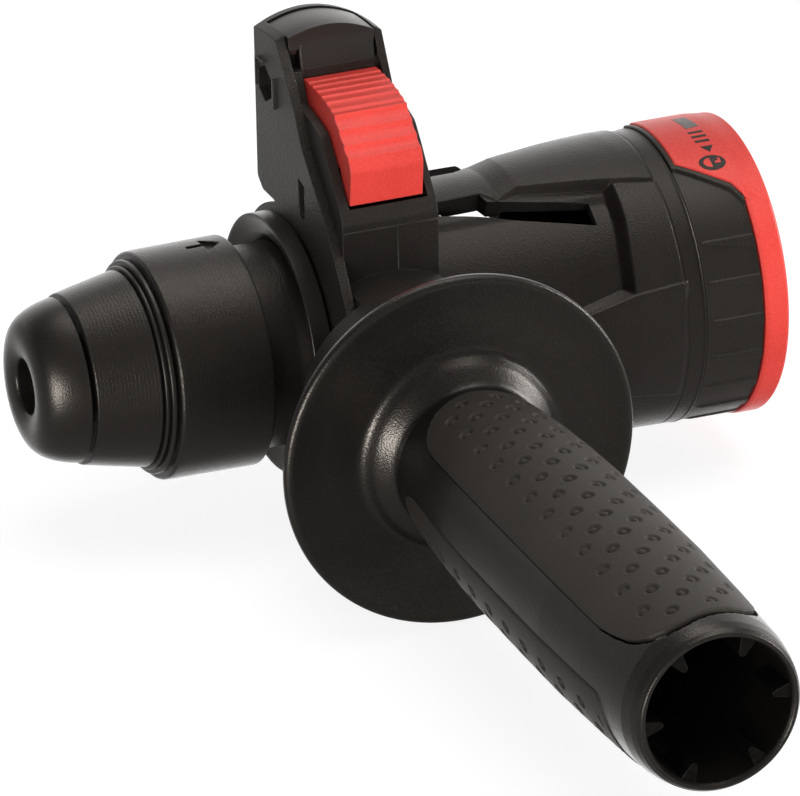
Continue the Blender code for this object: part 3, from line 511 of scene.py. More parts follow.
def join(target, *tools):
    for tool in tools:
        boolean(target, tool, "UNION")


def bevel(obj, width, angle=34, segments=2):
    """Rounds the sharp edges and bakes the result."""
    obj.modifiers.clear()
    modifier = obj.modifiers.new("bevel", "BEVEL")
    modifier.width = width * MM
    modifier.segments = segments
    modifier.limit_method = "ANGLE"
    modifier.angle_limit = math.radians(angle)
    modifier.use_clamp_overlap = True
    bake(obj)
    return polish(obj, 60.0)


def attach(obj, body, replaced=None):
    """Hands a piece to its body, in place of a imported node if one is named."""
    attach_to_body(obj, body)
    if replaced:
        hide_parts(replaced)


# =====================================================================================
# Chuck: profiles of (x, r) or (x, r, corner radius)
# =====================================================================================
CHUCK_BORE = 9.3
CAP_DOME = [
    (-65.7, 5.52), (-66.15, 5.7), (-66.55, 6.35), (-66.85, 7.4), (-67.02, 8.8), (-66.95, 10.3),
    (-66.60, 11.7), (-65.9, 13.0), (-64.6, 14.2), (-62.7, 15.2), (-60.5, 15.95), (-58.3, 16.45),
]
CAP_INSIDE = [(-57.75, 16.5, 0.3), (-57.75, 8.8), (-62.8, 8.8), (-62.8, 5.5)]
dome = smooth_curve(CAP_DOME, 6)
cap = lathe("dust_cap_fine", dome + rounded(CAP_INSIDE, 4), "black_rubber_cap")
attach(cap, "spindle", "dust_cap")

CONE = [(-57.35, 13.5), (-57.35, 17.0, 0.45), (-52.0, 18.15), (-44.62, 19.66, 0.35),
        (-44.62, 13.5)]
cone = lathe("sleeve_cone_fine", rounded(CONE), "black_sleeve")
attach(cone, "lock_sleeve", "sleeve_cone")

STEP_RINGS = [
    (-44.35, CHUCK_BORE), (-44.35, 20.25, 0.28), (-43.72, 20.3, 0.12), (-43.62, 19.7),
    (-43.45, 19.7), (-43.35, 21.25, 0.28), (-42.55, 21.35, 0.15), (-42.45, 20.6), (-42.2, 20.6),
    (-42.2, CHUCK_BORE),
]
step_rings = lathe("sleeve_step_rings_fine", rounded(STEP_RINGS, 5), "satin_black")
attach(step_rings, "lock_sleeve", "sleeve_step_ring")

SLEEVE = [
    (-41.9, CHUCK_BORE), (-41.9, 22.7, 0.75), (-40.0, 22.82), (-32.0, 22.92), (-23.6, 23.0),
    (-22.5, 23.0, 0.45), (-22.5, 21.3, 0.2), (-36.5, 20.85, 0.8), (-37.8, CHUCK_BORE),
]
# (x, degrees) of an arrow sunk in the top of the sleeve, pointing to the rear
ARROW = np.array([(-24.3, 93.0), (-28.2, 84.5), (-28.2, 91.2), (-31.6, 91.2), (-31.6, 94.8),
                  (-28.2, 94.8), (-28.2, 101.5)])
ARROW_FLOOR_R, ARROW_CUTTER_R = 22.35, 24.0
sleeve = lathe("locking_sleeve_fine", rounded(SLEEVE), "black_sleeve", segments=192)
arrow_loops = [around_x(*ARROW.T, r) for r in (ARROW_FLOOR_R, ARROW_CUTTER_R)]
cut(sleeve, loft("arrow_cut", arrow_loops, None))
attach(polish(sleeve, 40), "lock_sleeve", "locking_sleeve")

FRONT_COLLAR = [(-15.2, 26.0, 0.22), (-11.2, 26.0, 0.3), (-10.95, 25.0), (-10.95, 20.6),
                (-13.0, 20.6), (-13.9, 22.0, 1.5), (-15.1, 25.2, 0.5)]
collar = lathe("front_collar_fine", rounded(FRONT_COLLAR), "satin_black", segments=192)
attach(collar, "root", "front_collar")

# =====================================================================================
# Gear housing: neck, seat and shell on one fine grid, with its reliefs as a height field
# =====================================================================================
# radius of the raised back and of the flanks, as (x, r)
BACK = [(12.3, 27.4), (30.8, 27.6), (34.9, 28.85), (41.3, 29.3), (46.3, 29.66), (52.3, 29.95),
        (57.5, 30.12), (61.3, 30.05), (62.3, 29.8), (66.0, 29.6)]
FLANK = [(12.3, 27.4), (30.0, 27.7), (46.0, 28.9), (52.4, 29.3), (61.5, 29.5), (66.0, 29.6)]
SUNK_R, SUNK_TOP_R = 26.35, 27.15  # floor of the sunk side, and its upper band
# rear limit of the sunk side as (degrees, x), and the oblique ridge below it as (x, degrees)
SUNK_REAR = [(-70, 47.0), (19, 51.8), (34, 52.3), (50, 53.3), (66, 53.6), (80, 53.2)]
SUNK_RIDGE = [(-5.0, -62.0), (12.0, -52.0), (24.0, -34.0), (33.0, -12.0), (40.8, 13.2),
              (51.8, 18.8)]
# raised patches, as (x, degrees)
BACK_PATCH = [(30.2, 95.0), (30.2, 71.2), (34.6, 73.8), (42.8, 70.6), (54.8, 66.2), (61.9, 63.4),
              (61.9, 95.0)]
STRAP_PATCH = [(0.0, 95.0), (0.0, 76.9), (27.4, 77.6), (30.2, 71.2), (31.0, 95.0)]
LOWER_PATCH = [(40.8, 13.6), (52.0, 18.7), (62.6, 20.4), (61.9, 11.0), (61.3, -3.6),
               (61.3, -29.2), (50.8, -26.0), (46.0, -8.0)]
LOWER_PATCH_HEIGHT = 0.45
FAR_LIP_R = 28.15
SHELL_X = (12.3, 66.0)
BAND_SEAM_X = 62.1


def fold(degrees):
    """Angles of the far half mirrored onto the near half."""
    t = np.mod(degrees, 360.0)
    t = np.where(t > 270, t - 360, t)
    return np.where(t > 90, 180 - t, t)


def housing_radius(x, degrees):
    t = fold(degrees)
    r = follow(x, FLANK)
    # sunk side: bounded by the ramp behind, the oblique ridge below and the raised back above
    ramp_width, ridge_width = 1.9, 1.6
    to_rear = follow(t, SUNK_REAR) - x
    above_ridge = (t - follow(x, SUNK_RIDGE)) * ARC * np.interp(x, [34.0, 41.0], [0.62, 1.0])
    # the ramp is a blend of a rounded and a straight slope
    slope = (smoothstep(0.0, ramp_width, to_rear) * 0.35
             + np.clip(to_rear / ramp_width, 0, 1) * 0.65)
    sunk = np.minimum(slope, np.clip(above_ridge / ridge_width, 0, 1))
    floor_r = SUNK_R + (SUNK_TOP_R - SUNK_R) * smoothstep(60.0, 66.0, t)
    r = r + (floor_r - r) * sunk
    # lower raised panel with a crisp narrow bevel
    r = r + LOWER_PATCH_HEIGHT * smoothstep(-0.32, 0.32, patch_depth(x, t, LOWER_PATCH))
    raised = np.maximum(patch_depth(x, t, BACK_PATCH), patch_depth(x, t, STRAP_PATCH))
    r = r + (follow(x, BACK) - r) * smoothstep(-0.42, 0.42, raised)
    # standing lip along the far window
    lip = (smoothstep(111.0, 112.0, degrees) * (1 - smoothstep(122.0, 134.0, degrees))
           * smoothstep(13.5, 14.5, x) * (1 - smoothstep(30.0, 33.0, x)))
    r = np.maximum(r, r + (FAR_LIP_R - r) * lip)
    # small bead at the rear edge, rounded front edge
    r = r + 0.13 * np.clip(1 - ((x - 65.68) / 0.30) ** 2, 0, 1)
    r = r - 0.6 * np.clip((12.9 - x) / 0.6, 0, 1) ** 2
    # fine seam in front of the rear band
    return r - 0.14 * np.exp(-(((x - BAND_SEAM_X) / 0.18) ** 2))


# stations in x, closer together at the edges and the seam
shell_x = np.unique(np.concatenate([
    np.linspace(*SHELL_X, 250),
    [12.5, 12.7, 12.9, 61.6, 61.8, 62.0, BAND_SEAM_X, 62.2, 65.4, 65.5, 65.6, 65.7, 65.8, 65.9],
]))
# neck in front of the shell, then the bore from rear to front
NECK = [(-29.0, 17.7), (-29.0, 19.6, 0.3), (-28.4, 20.2, 0.3), (-16.0, 20.2, 2.0),
        (-13.4, 20.5, 1.2), (-10.2, 20.5), (-10.2, 21.5, 0.2), (11.9, 21.5), (12.3, 21.5)]
BORE = [(66.0, 28.9), (66.0, 27.0), (56.0, 27.0), (51.5, 24.6), (31.5, 24.4), (30.5, 23.3),
        (19.9, 23.3), (19.7, 24.05), (14.6, 24.05), (14.6, 18.9), (-5.5, 18.9), (-5.5, 17.7),
        (-29.0, 17.7)]
shell_degrees = np.linspace(0, 360, 864, endpoint=False)
shell = [(x, housing_radius(np.full(864, x), shell_degrees)) for x in shell_x]
# the neck's first point is also the bore's last
housing = turned_relief("gear_housing_fine", rounded(NECK, 4)[1:] + shell + BORE, shell_degrees,
                        around_x, "black_housing", sharp=48)

# openings, as (x, first degree, last degree) on the near side
WINDOW = [(15.2, 69.6, 76.9), (19.2, 67.8, 77.1), (27.4, 63.6, 77.6), (28.2, 63.1, 72.2),
          (37.7, 57.3, 67.0), (48.2, 51.0, 62.2)]
FAR_WINDOW = [(x, 180 - first, 180 - last) for x, first, last in WINDOW]
FAR_VENT = [(29.0, 133.0, 171.0), (43.5, 133.0, 171.0)]
for name, rows, steps, per in (
    ("window_0", WINDOW, 6, 10),
    ("window_1", FAR_WINDOW, 6, 10),
    ("far_vent_cut", FAR_VENT, 24, 2),
):
    cut(housing, curved_cutter(name, rows, 20.0, 34.0, steps, per), inside="dark_inside")
attach(polish(housing, 48), "root", "gear_housing")

# =====================================================================================
# Rear adapter, its screws and the drive dog
# =====================================================================================
ADAPTER = [
    (66.2, 7.9), (66.2, 26.5, 0.3), (67.2, 26.5), (67.4, 24.5, 0.3), (79.5, 24.5, 0.35),
    (79.5, 21.35, 0.35), (69.0, 21.3, 0.8), (69.0, 19.6), (68.7, 19.2), (68.7, 10.4),
    (69.0, 10.0), (69.0, 7.9, 0.3),
]
SCREW = [(60.0, 0), (60.0, 1.6), (69.2, 1.65), (69.2, 2.9, 0.2), (70.9, 2.95, 0.5),
         (71.4, 2.2, 0.2), (71.4, 0)]
SCREW_PLACES = [(sy * 16.7, sz * 6.1) for sy in (-1, 1) for sz in (1, -1)]
SCREW_HOLE_R, SCREW_SOCKET_R = 2.05, 1.35
NOTCH_PITCH, NOTCH_HALF = 60.0, 7  # degrees
adapter = lathe("rear_adapter_fine", rounded(ADAPTER, 5), "cast_aluminium")
for i, (y, z) in enumerate(SCREW_PLACES):
    cut(adapter, prism(f"adapter_hole_{i}", circle(y, z, SCREW_HOLE_R, 28), 64, 70))
for k in range(6):
    # notches in the mouth of the tube
    middle = NOTCH_PITCH * k + 30.0
    rows = [(x, middle - NOTCH_HALF, middle + NOTCH_HALF) for x in (76.3, 81.0)]
    cut(adapter, curved_cutter(f"notch_{k}", rows, 23.6, 26.0, 8))
attach(polish(adapter, 35), "root", "rear_adapter")

for i, (y, z) in enumerate(SCREW_PLACES):
    node_name = f"adapter_screw_{i + 1}"
    screw = lathe(node_name + "_fine", rounded(SCREW, 4), "blackened_steel", 48, centre=(y, z))
    cut(screw, prism(f"recess_{i}", circle(y, z, SCREW_SOCKET_R, 6), 70.0, 72.0))
    attach(polish(screw, 35), "root", node_name)

DOG_BORE, DOG_R, DOG_SOCKET_R = 3.98, 9.0, 6.4
DOG = [(71.6, DOG_BORE), (71.6, DOG_R, 0.5), (74.6, DOG_R, 0.2), (74.8, 8.5), (75.6, 8.5),
       (75.8, DOG_R, 0.2), (82.0, DOG_R, 0.6), (82.0, DOG_BORE)]
dog = lathe("drive_dog_fine", rounded(DOG, 5), "blackened_steel", segments=96)
cut(dog, prism("dog_socket", circle(0, 0, DOG_SOCKET_R, 6), 77.0, 83.0))
attach(polish(dog, 35), "input", "drive_dog")

# =====================================================================================
# Side-handle clamp with its tower: outlines of (y, z) or (y, z, corner radius)
# =====================================================================================
FRONT_X, REAR_X = -10.5, 11.5
SEAT_R = 21.75
BOSS_X, BOSS_R = 1.0, 22.4
WRAP_R = 27.5  # curved far side of the clamp
wrap_degrees = [74.0 - 122.0 * i / 40 for i in range(41)]
wrap = [(WRAP_R * math.cos(math.radians(t)), WRAP_R * math.sin(math.radians(t)))
        for t in wrap_degrees]
far_side = [(4.3, 67.0), (16.4, 67.0), (16.4, 28.9, 1.5), (13.6, 26.9, 1.5), (7.0, 26.9, 0.8),
            *wrap, (16.0, -29.2, 1.0), (13.0, -31.5, 1.0)]
BODY_NEAR = [
    (-20.0, -31.5, 2.0), (-24.5, -27.0, 2.0), (-24.5, 33.2, 1.5), (-23.3, 35.9, 1.5),
    (-20.8, 38.9, 2.0), (-16.2, 44.7, 3.0), (-13.2, 48.1, 3.0), (-9.0, 49.3, 3.0),
    (-2.2, 50.3, 0.6), (4.3, 61.6),
]
PLATE_NEAR = [
    (-24.0, -31.5, 3.0), (-30.5, -22.0, 3.0), (-32.1, 0.0, 6.0), (-32.1, 16.0, 3.0),
    (-26.3, 24.4, 3.0), (-20.9, 31.6, 3.0), (-8.3, 43.9, 2.0), (-4.8, 50.2, 0.8), (4.3, 61.6),
]
BUTTON_POCKET = [(4.2, 29.6), (4.2, 47.0), (2.0, 47.0), (2.0, 70.0), (-30.0, 70.0),
                 (-30.0, 36.0), (-22.9, 36.0), (-22.9, 32.0), (-19.0, 29.6)]
ROD = circle(10.9, 50.5, 3.9, 6, math.radians(30))  # hexagonal depth-rod hole


def arch_z(x):
    """Height of the tower's arched top."""
    return 64.55 - 0.0273 * (x + 0.3) ** 2


def arch_cutter(name, lift):
    """Cutter above the arched top, which also falls away towards the far side."""
    front, rear, top = -13.0, 14.0, 75.0
    stations = [FRONT_X + (REAR_X - FRONT_X) * i / 48 for i in range(49)]
    loops = []
    for y in [-60.0] + [5.0 + 0.8 * i for i in range(17)] + [30.0]:
        drop = 1.2 * min(1.5, max(0.0, (y - 5.0) / 11.4)) ** 1.6
        under = [(x, y, arch_z(min(max(x, FRONT_X), REAR_X)) + lift - drop)
                 for x in [front] + stations + [rear]]
        loops.append(under + [(rear, y, top), (front, y, top)])
    return loft(name, loops, None)


def clamp_boss():
    """Round boss on the near side that the handle bears on, with a root inside the clamp."""
    outline = circle(BOSS_X, 0.0, BOSS_R, 144)
    boss = prism("boss", outline, -52.0, -29.0, axis="Y")
    root = prism("boss_root", outline, -30.0, -22.0, axis="Y")
    kept = rectangle(-8.3, REAR_X - 0.2, -32.0, -21.0)
    boolean(root, prism("boss_root_keep", kept, -24.0, 24.0, axis="Z"), "INTERSECT")
    join(boss, root)
    cleared = rectangle(-22.5, -8.2, -33.4, -28.0)
    cut(boss, prism("boss_front_clear", cleared, -24.0, 24.0, axis="Z"))
    return boss


clamp = prism("clamp_body_fine", rounded(far_side + BODY_NEAR, 5), -8.5, REAR_X, "black_clamp")
cut(clamp, arch_cutter("arch_cut", 0.0))
join(clamp, clamp_boss())
cut(
    clamp,
    prism("seat_bore", circle(0, 0, SEAT_R, 144), -12.0, 14.0),
    prism("stud_hex", circle(0, 0, 7.4, 6), -30.6, -21.0, axis="Y"),
    prism("stud_hole", circle(0, 0, 4.3, 32), -53.0, -29.0, axis="Y"),
    prism("button_pocket", BUTTON_POCKET, -6.5, 10.0),
    prism("cap_seat", rectangle(-2.0, 14.4, 56.0, 72.0), -8.7, 9.9),
    prism("rod_hole", ROD, -12, 14),
)
# fine raised mould lines on the near face: (y, z) for the one across, (x, y) for the upright
LINE_ACROSS = [(-24.62, 31.45), (-24.3, 31.45), (-24.3, 31.75), (-24.52, 31.75),
               (-24.62, 31.68)]
LINE_DOWN = [(2.92, -24.3), (2.92, -24.57), (3.0, -24.62), (3.08, -24.57), (3.08, -24.3)]
join(
    clamp,
    prism("line_across", LINE_ACROSS, -8.35, 11.35),
    prism("line_down", LINE_DOWN, 20.0, 31.5, axis="Z"),
)
attach(bevel(clamp, 0.26), "clamp", "clamp_body")

# face plate on the front of the clamp
PLATE_SLOT = [(-9.2, 28.8), (-7.1, 28.8), (-6.5, 29.6), (-5.9, 36.9), (-9.2, 36.2)]
# raised tabs beside and above the depth-rod hole, as (y, y, z, z)
TABS = {
    "tab_far": (14.6, 15.3, 48.9, 54.6),
    "tab_near": (5.3, 6.1, 47.0, 53.3),
    "tab_top": (11.4, 14.4, 54.6, 55.2),
}
plate = prism("clamp_face_plate_fine", rounded(far_side + PLATE_NEAR, 5), FRONT_X, -8.46,
              "black_face_plate")
cut(
    plate,
    arch_cutter("arch_cut", 0.0),
    prism("plate_bore", circle(0, 0, SEAT_R, 144), -12.0, -8.0),
    prism("plate_rod_hole", ROD, -12, -8),
    prism("plate_slot", PLATE_SLOT, -12, -8),
)
join(plate, *[prism(name, rectangle(*sides), -10.95, -10.0) for name, sides in TABS.items()])
attach(bevel(plate, 0.42, segments=1), "clamp", "clamp_face_plate")

# cap of the tower, whose near panel is narrower than its top
TOWER_CAP = [(1.8, 53.5), (4.6, 53.5), (6.0, 57.0), (13.9, 57.0), (13.9, 70.0), (3.1, 70.0),
             (3.1, 61.5), (2.9, 60.4)]
tower_cap = prism("tower_cap_fine", TOWER_CAP, -8.3, 9.55, "satin_black")
cut(
    tower_cap,
    arch_cutter("cap_arch", -0.35),
    prism("slot_left", rectangle(-9.0, -6.2, 53.0, 59.9), 0.0, 5.2, axis="Y"),
    prism("slot_right", rectangle(9.3, 10.5, 53.0, 59.9), 0.0, 5.2, axis="Y"),
)
attach(bevel(tower_cap, 0.22), "clamp", "tower_cap")

# hooks at both ends of the cap, and a thin lip down the front edge of its near panel:
# name, outline, front x, rear x, bevel
CAP_TRIM = [
    ("cap_hook_left",
     [(3.15, 58.9), (4.3, 58.6), (5.4, 60.6), (5.4, 61.2), (3.2, 61.2), (3.0, 60.4)],
     -8.1, -6.6, 0.2),
    ("cap_hook_right",
     [(3.05, 58.6), (4.3, 58.4), (5.4, 60.6), (5.4, 61.5), (3.2, 61.2), (2.95, 60.4)],
     8.3, 9.5, 0.2),
    ("cap_panel_lip", [(3.4, 61.0), (2.7, 60.6), (1.55, 54.9), (1.65, 54.3), (2.3, 54.3)],
     -6.15, -5.75, 0.12),
]
for name, outline, front_x, rear_x, width in CAP_TRIM:
    trim = prism(name, outline, front_x, rear_x, "satin_black")
    attach(bevel(trim, width), "clamp")

# =====================================================================================
# Release button: a crown with shallow scoops, then a scooped slope down to the near edge
# =====================================================================================
# (y, z) of the crown, and of the ridges down the slope
CROWN = [(-15.2, 52.55), (-13.4, 53.15), (-10.7, 53.85), (-8.2, 54.2), (-5.7, 54.42),
         (-2.7, 54.5), (1.6, 54.4)]
SLOPE = [(-14.9, 52.6), (-17.35, 50.25), (-19.8, 47.95), (-21.9, 46.0)]
SCOOP_PITCH = 2.4
RIDGE_LIFT = 0.16
# a crown scoop from its ridge on: mm towards -Y, share of the change in height, lift
CROWN_SCOOP = [(0.0, 0.0, RIDGE_LIFT), (0.35, 0.15, -0.10), (1.0, 0.42, -0.14),
               (1.9, 0.8, 0.02)]
# a slope scoop falls away below its ridge, then swells to the next: share of the way, lift
SLOPE_SCOOP = [(0.0, 0.42), (0.10, 0.12), (0.26, -0.10), (0.45, -0.12), (0.70, 0.06),
               (0.90, 0.30)]
LAST_RIDGE_LIFT = 0.40


def button_outline():
    out = [(1.6, 42.6), (1.6, 54.0), (1.1, 54.38), (-1.0, 54.45)]
    y = -1.2
    for _ in range(5):
        z0, z1 = follow(y, CROWN), follow(y - SCOOP_PITCH, CROWN)
        out += [(y - dy, z0 + (z1 - z0) * share + lift) for dy, share, lift in CROWN_SCOOP]
        y -= SCOOP_PITCH
    out += [(y, follow(y, CROWN) + RIDGE_LIFT), (-13.9, 52.80)]
    for (y0, z0), (y1, z1) in zip(SLOPE, SLOPE[1:]):
        dy, dz = y1 - y0, z1 - z0
        length = math.hypot(dy, dz)
        normal_y, normal_z = dz / length, -dy / length
        out += [(y0 + dy * share + normal_y * lift, z0 + dz * share + normal_z * lift)
                for share, lift in SLOPE_SCOOP]
    out.append((y1 + normal_y * LAST_RIDGE_LIFT, z1 + normal_z * LAST_RIDGE_LIFT))
    return out + [(-22.75, 45.3), (-23.2, 44.2), (-23.28, 42.9), (-22.45, 36.4),
                  (-19.4, 36.4), (-17.6, 42.6)]


button = prism("release_button_fine", button_outline(), -6.1, 9.15, "red_plastic")
attach(bevel(button, 0.13, angle=24), "release_button", "release_button")

# =====================================================================================
# Side handle
# =====================================================================================
# (distance along -Y, radius) of the grip
GRIP = [(70.0, 15.5), (78.0, 16.55), (86.0, 17.2), (97.0, 17.85), (109.0, 18.25),
        (128.0, 18.45), (146.0, 18.5), (165.0, 18.0), (178.0, 17.5), (183.0, 17.25),
        (186.2, 16.75), (188.0, 16.25)]
# (degrees, y) of the top panel's outer end
TOP_OUTER_END = [
    (35, -168.0), (37.3, -170.5), (41, -174.0), (50, -178.5), (62, -181.0), (79, -181.7),
    (100, -182.5), (106, -182.9), (119, -182.5), (128.5, -181.0), (135, -178.6), (139, -176.3),
    (142.7, -171.5), (145, -166.5),
]
GRIP_ARC = math.pi / 180 * 17.9  # mm of arc in a degree, on the grip


def grip_radius(y):
    return follow(-y, GRIP)


def arched(u, power):
    """0 in the middle of a panel end, rising to 1 at its sides."""
    return 1 - np.sqrt(np.clip(1 - np.abs(u) ** power, 0, 1))


def top_ends(degrees):
    """The inner and the outer y of the top panel."""
    u = np.clip((degrees - 90.0) / 55.0, -1, 1)
    return -70.5 - 13.5 * arched(u, 2.5), follow(degrees, TOP_OUTER_END)


def bottom_ends(degrees):
    """The inner and the outer y of the bottom panel."""
    u = np.clip((degrees - 268.5) / 89.5, -1, 1)
    return -72.3 - 9.0 * arched(u, 9.0), -178.5 + 7.0 * arched(u, 2.6)


# first and last degree, ends, plain margin at the sides, how far the core's recess runs on
PANELS = {
    "grip_panel_top": (35.0, 145.0, top_ends, 5.2, 1.6),
    "grip_panel_bottom": (179.0, 358.0, bottom_ends, 4.0, 0.10),
}
# Dimples stand in staggered columns about the handle, and their pitch along it grows
COLUMN_START, COLUMN_PITCH = 106.4, 12.9  # degrees
DIMPLE_START_Y, DIMPLE_PITCH, DIMPLE_GROWTH = -75.0, 7.9, 0.0135


def dimples(y, degrees):
    """Relief of the dimples: a shallow round dish with a small dome in its middle."""
    out = np.zeros(np.shape(y))
    travelled = np.maximum(DIMPLE_START_Y - y, -40.0)
    count = np.log(1 + DIMPLE_GROWTH * travelled / DIMPLE_PITCH) / DIMPLE_GROWTH
    nearest = np.round((degrees - COLUMN_START) / COLUMN_PITCH)
    for step in (-1, 0, 1):
        column = nearest + step
        centre = COLUMN_START + COLUMN_PITCH * column
        shift = 0.04 + 0.5 * np.mod(column, 2)
        row = np.round(count - shift)
        growth = np.exp((row + shift) * DIMPLE_GROWTH) - 1
        centre_y = DIMPLE_START_Y - growth * DIMPLE_PITCH / DIMPLE_GROWTH
        r = np.hypot(y - centre_y, (degrees - centre) * GRIP_ARC)
        on_panel = (centre_y < -74.0) & (centre_y > -180.5)
        dish = -0.56 * (1 - smoothstep(0.85, 1.55, r))
        dome = 0.62 * np.sqrt(np.clip(1 - (r / 0.86) ** 2, 0, 1))
        rim = 0.03 * np.exp(-(((r - 1.85) / 0.22) ** 2))
        out += np.where(on_panel, dish + dome + rim, 0.0)
    return out


def grip_panel(name):
    """Soft panel that stands 0.22 mm proud and reaches 0.95 mm into the core."""
    first, last, ends, margin, _ = PANELS[name]
    along = np.linspace(0, 1, 430)[:, None]
    # angle columns are packed towards the sides so the arched ends stay smooth
    across = np.linspace(-1, 1, int((last - first) / 0.72))
    packed = across + 0.10 * across * (1 - across * across)
    columns = (first + last) / 2 + (last - first) / 2 * packed
    inner_end, outer_end = ends(columns)
    y = inner_end[None, :] + (outer_end - inner_end)[None, :] * along
    degrees = np.broadcast_to(columns, y.shape)
    from_side = np.minimum(degrees - first, last - degrees) * GRIP_ARC
    length = (inner_end - outer_end)[None, :]
    from_end = np.minimum(along * length, (1 - along) * length)
    edge = np.minimum(from_side, from_end)
    roll = 0.30 * arched(np.clip(1 - edge / 0.75, 0, 1), 2)
    dimpled = (smoothstep(2.6, 3.6, np.minimum(from_end, 9))
               * smoothstep(margin, margin + 1.0, from_side))
    outer = grip_radius(y) + 0.22 - roll + dimples(y, degrees) * dimpled
    inner = grip_radius(y) - 0.95
    return sheet(name + "_fine", y, degrees, outer, inner, around_y, "soft_grip", sharp=50)


for name in PANELS:
    attach(grip_panel(name), "side_handle", name)

# Handle core, sunk under the soft panels. Profiles of (y, r) or (y, r, corner radius):
# the flange's near face down to the grip, its side towards the clamp, and the bore.
FLANGE_NEAR = [
    (-59.9, 33.4), (-60.1, 34.9), (-60.8, 35.85), (-61.7, 36.18), (-62.5, 36.15),
    (-63.1, 35.75), (-63.38, 35.0), (-63.25, 34.0), (-62.95, 32.2), (-62.7, 29.5),
    (-62.7, 26.0), (-62.7, 22.8), (-62.75, 21.5), (-62.95, 20.7), (-63.45, 20.0),
    (-64.2, 19.4), (-65.05, 18.8), (-65.75, 18.15), (-66.4, 17.45), (-67.0, 16.8),
    (-67.6, 16.15), (-68.25, 15.65), (-69.1, 15.42), (-70.0, 15.5),
]
CLAMP_SIDE = [(-59.6, 4.4), (-52.4, 4.4), (-52.4, 14.4, 0.6), (-57.0, 15.1, 1.0),
              (-59.3, 18.4, 1.5), (-59.9, 33.0)]
HANDLE_BORE = [(-188.95, 15.80, 0.6), (-188.95, 14.95, 0.25), (-188.2, 14.5, 0.4),
               (-150.0, 13.4), (-80.0, 11.6), (-76.0, 9.5), (-76.0, 6.8), (-59.6, 6.8)]
core_degrees = np.linspace(0, 360, 480, endpoint=False)


def core_radius(y):
    r = np.full(len(core_degrees), float(grip_radius(y)))
    for first, last, ends, _, run_on in PANELS.values():
        t = np.where(core_degrees < first - 60, core_degrees + 360, core_degrees)
        inner_end, outer_end = ends(np.clip(t, first, last))
        from_side = np.minimum(t - first, last - t) * GRIP_ARC
        from_end = np.minimum(inner_end - y + 0.05, y - outer_end + run_on)
        depth = np.minimum(from_side + 0.02, from_end)
        # deeper where the recess runs on past the panel's outer end
        extra = 0.7 * np.clip((outer_end + 0.2 - y) / 0.2, 0, 1)
        r = r - (1.15 + extra) * np.clip(depth / 0.20, 0, 1)
    return r


core_rows = rounded(CLAMP_SIDE, 5) + smooth_curve(FLANGE_NEAR, 5)
core_rows += [(y, core_radius(y)) for y in np.linspace(-70.3, -188.0, 474)]
core_rows += rounded(HANDLE_BORE, 5)
core = turned_relief("handle_core_fine", core_rows, core_degrees, around_y, "black_handle",
                     sharp=42)
attach(core, "side_handle", "handle_core")

# ribs in the open end of the bore: (radius, offset to the side)
END_RIB = [(15.3, -1.75), (11.9, -0.85), (11.2, -0.62), (10.9, -0.2), (10.9, 0.2),
           (11.2, 0.62), (11.9, 0.85), (15.3, 1.75)]
for k in range(6):
    t = math.radians(5.0 + 60.0 * k)
    outward, sideways = Vector((math.cos(t), math.sin(t))), Vector((-math.sin(t), math.cos(t)))
    outline = [tuple(outward * r + sideways * w) for r, w in END_RIB]
    # their material paints the bore's shade on them and a highlight on their edges
    rib = prism(f"end_rib_{k}", outline, -188.0, -179.0, "rib_shaded_black", axis="Y")
    attach(bevel(rib, 0.12), "side_handle")

# =====================================================================================
# Quick-change lock ring
# =====================================================================================
COLLAR_X = (66.0, 78.15)
COLLAR_R = 29.50
RIDGES = [34.4 - 15.4 * k for k in range(17)]  # degrees of the wedge-shaped ridges
# near edge of the raised bed under the tongue, as (x, degrees)
BED_EDGE = [(65.0, 66.2), (67.0, 65.6), (76.0, 52.9), (77.3, 48.9), (78.4, 45.0), (80.0, 42.0)]
COLLAR_INSIDE = [(78.15, 28.9), (78.15, 24.9), (67.2, 24.9), (67.2, 27.9), (66.1, 27.9)]


def collar_radius(x, degrees):
    r = np.full(np.shape(degrees), COLLAR_R)
    t = np.mod(degrees + 220.0, 360.0) - 220.0
    # sunk pads between the ridges
    pad = (np.clip((x - 66.9) / 0.25, 0, 1) * smoothstep(34.9, 34.2, t)
           * np.clip((t + 213.5) / 0.6, 0, 1))
    r = r - 0.62 * pad
    for ridge in RIDGES:
        foot = ridge - np.interp(x, [67.0, 78.4], [2.3, 6.3])
        rise = np.minimum(np.clip((ridge - t) / 0.5, 0, 1), np.clip((t - foot) / 0.9, 0, 1))
        r = r + 0.92 * rise * pad * np.interp(x, [66.9, 68.4], [0.7, 1.0])
        # notch beside each ridge, just in front of the red ring
        notch = (np.clip((x - 76.35) / 0.2, 0, 1) * np.clip((ridge - 6.7 - t) / 0.4, 0, 1)
                 * np.clip((t - ridge + 12.4) / 0.4, 0, 1))
        r = r - 1.8 * notch
        # small nick at the narrow front end
        nick = (np.clip(1 - np.abs(x - 67.5) / 0.5, 0, 1)
                * np.clip(1 - np.abs(t - ridge + 3.4) / 1.5, 0, 1))
        r = r - 0.7 * np.clip(nick * 2.5, 0, 1)
    bed = patch_depth(x, t, with_mirror(BED_EDGE), arc=ARC * 1.07)
    r = np.maximum(r, COLLAR_R + 0.75 * np.clip(bed / 0.35 + 0.5, 0, 1) * (x > 65.9))
    # rounded front edge
    return r - 0.3 * np.clip((66.25 - x) / 0.25, 0, 1) ** 2


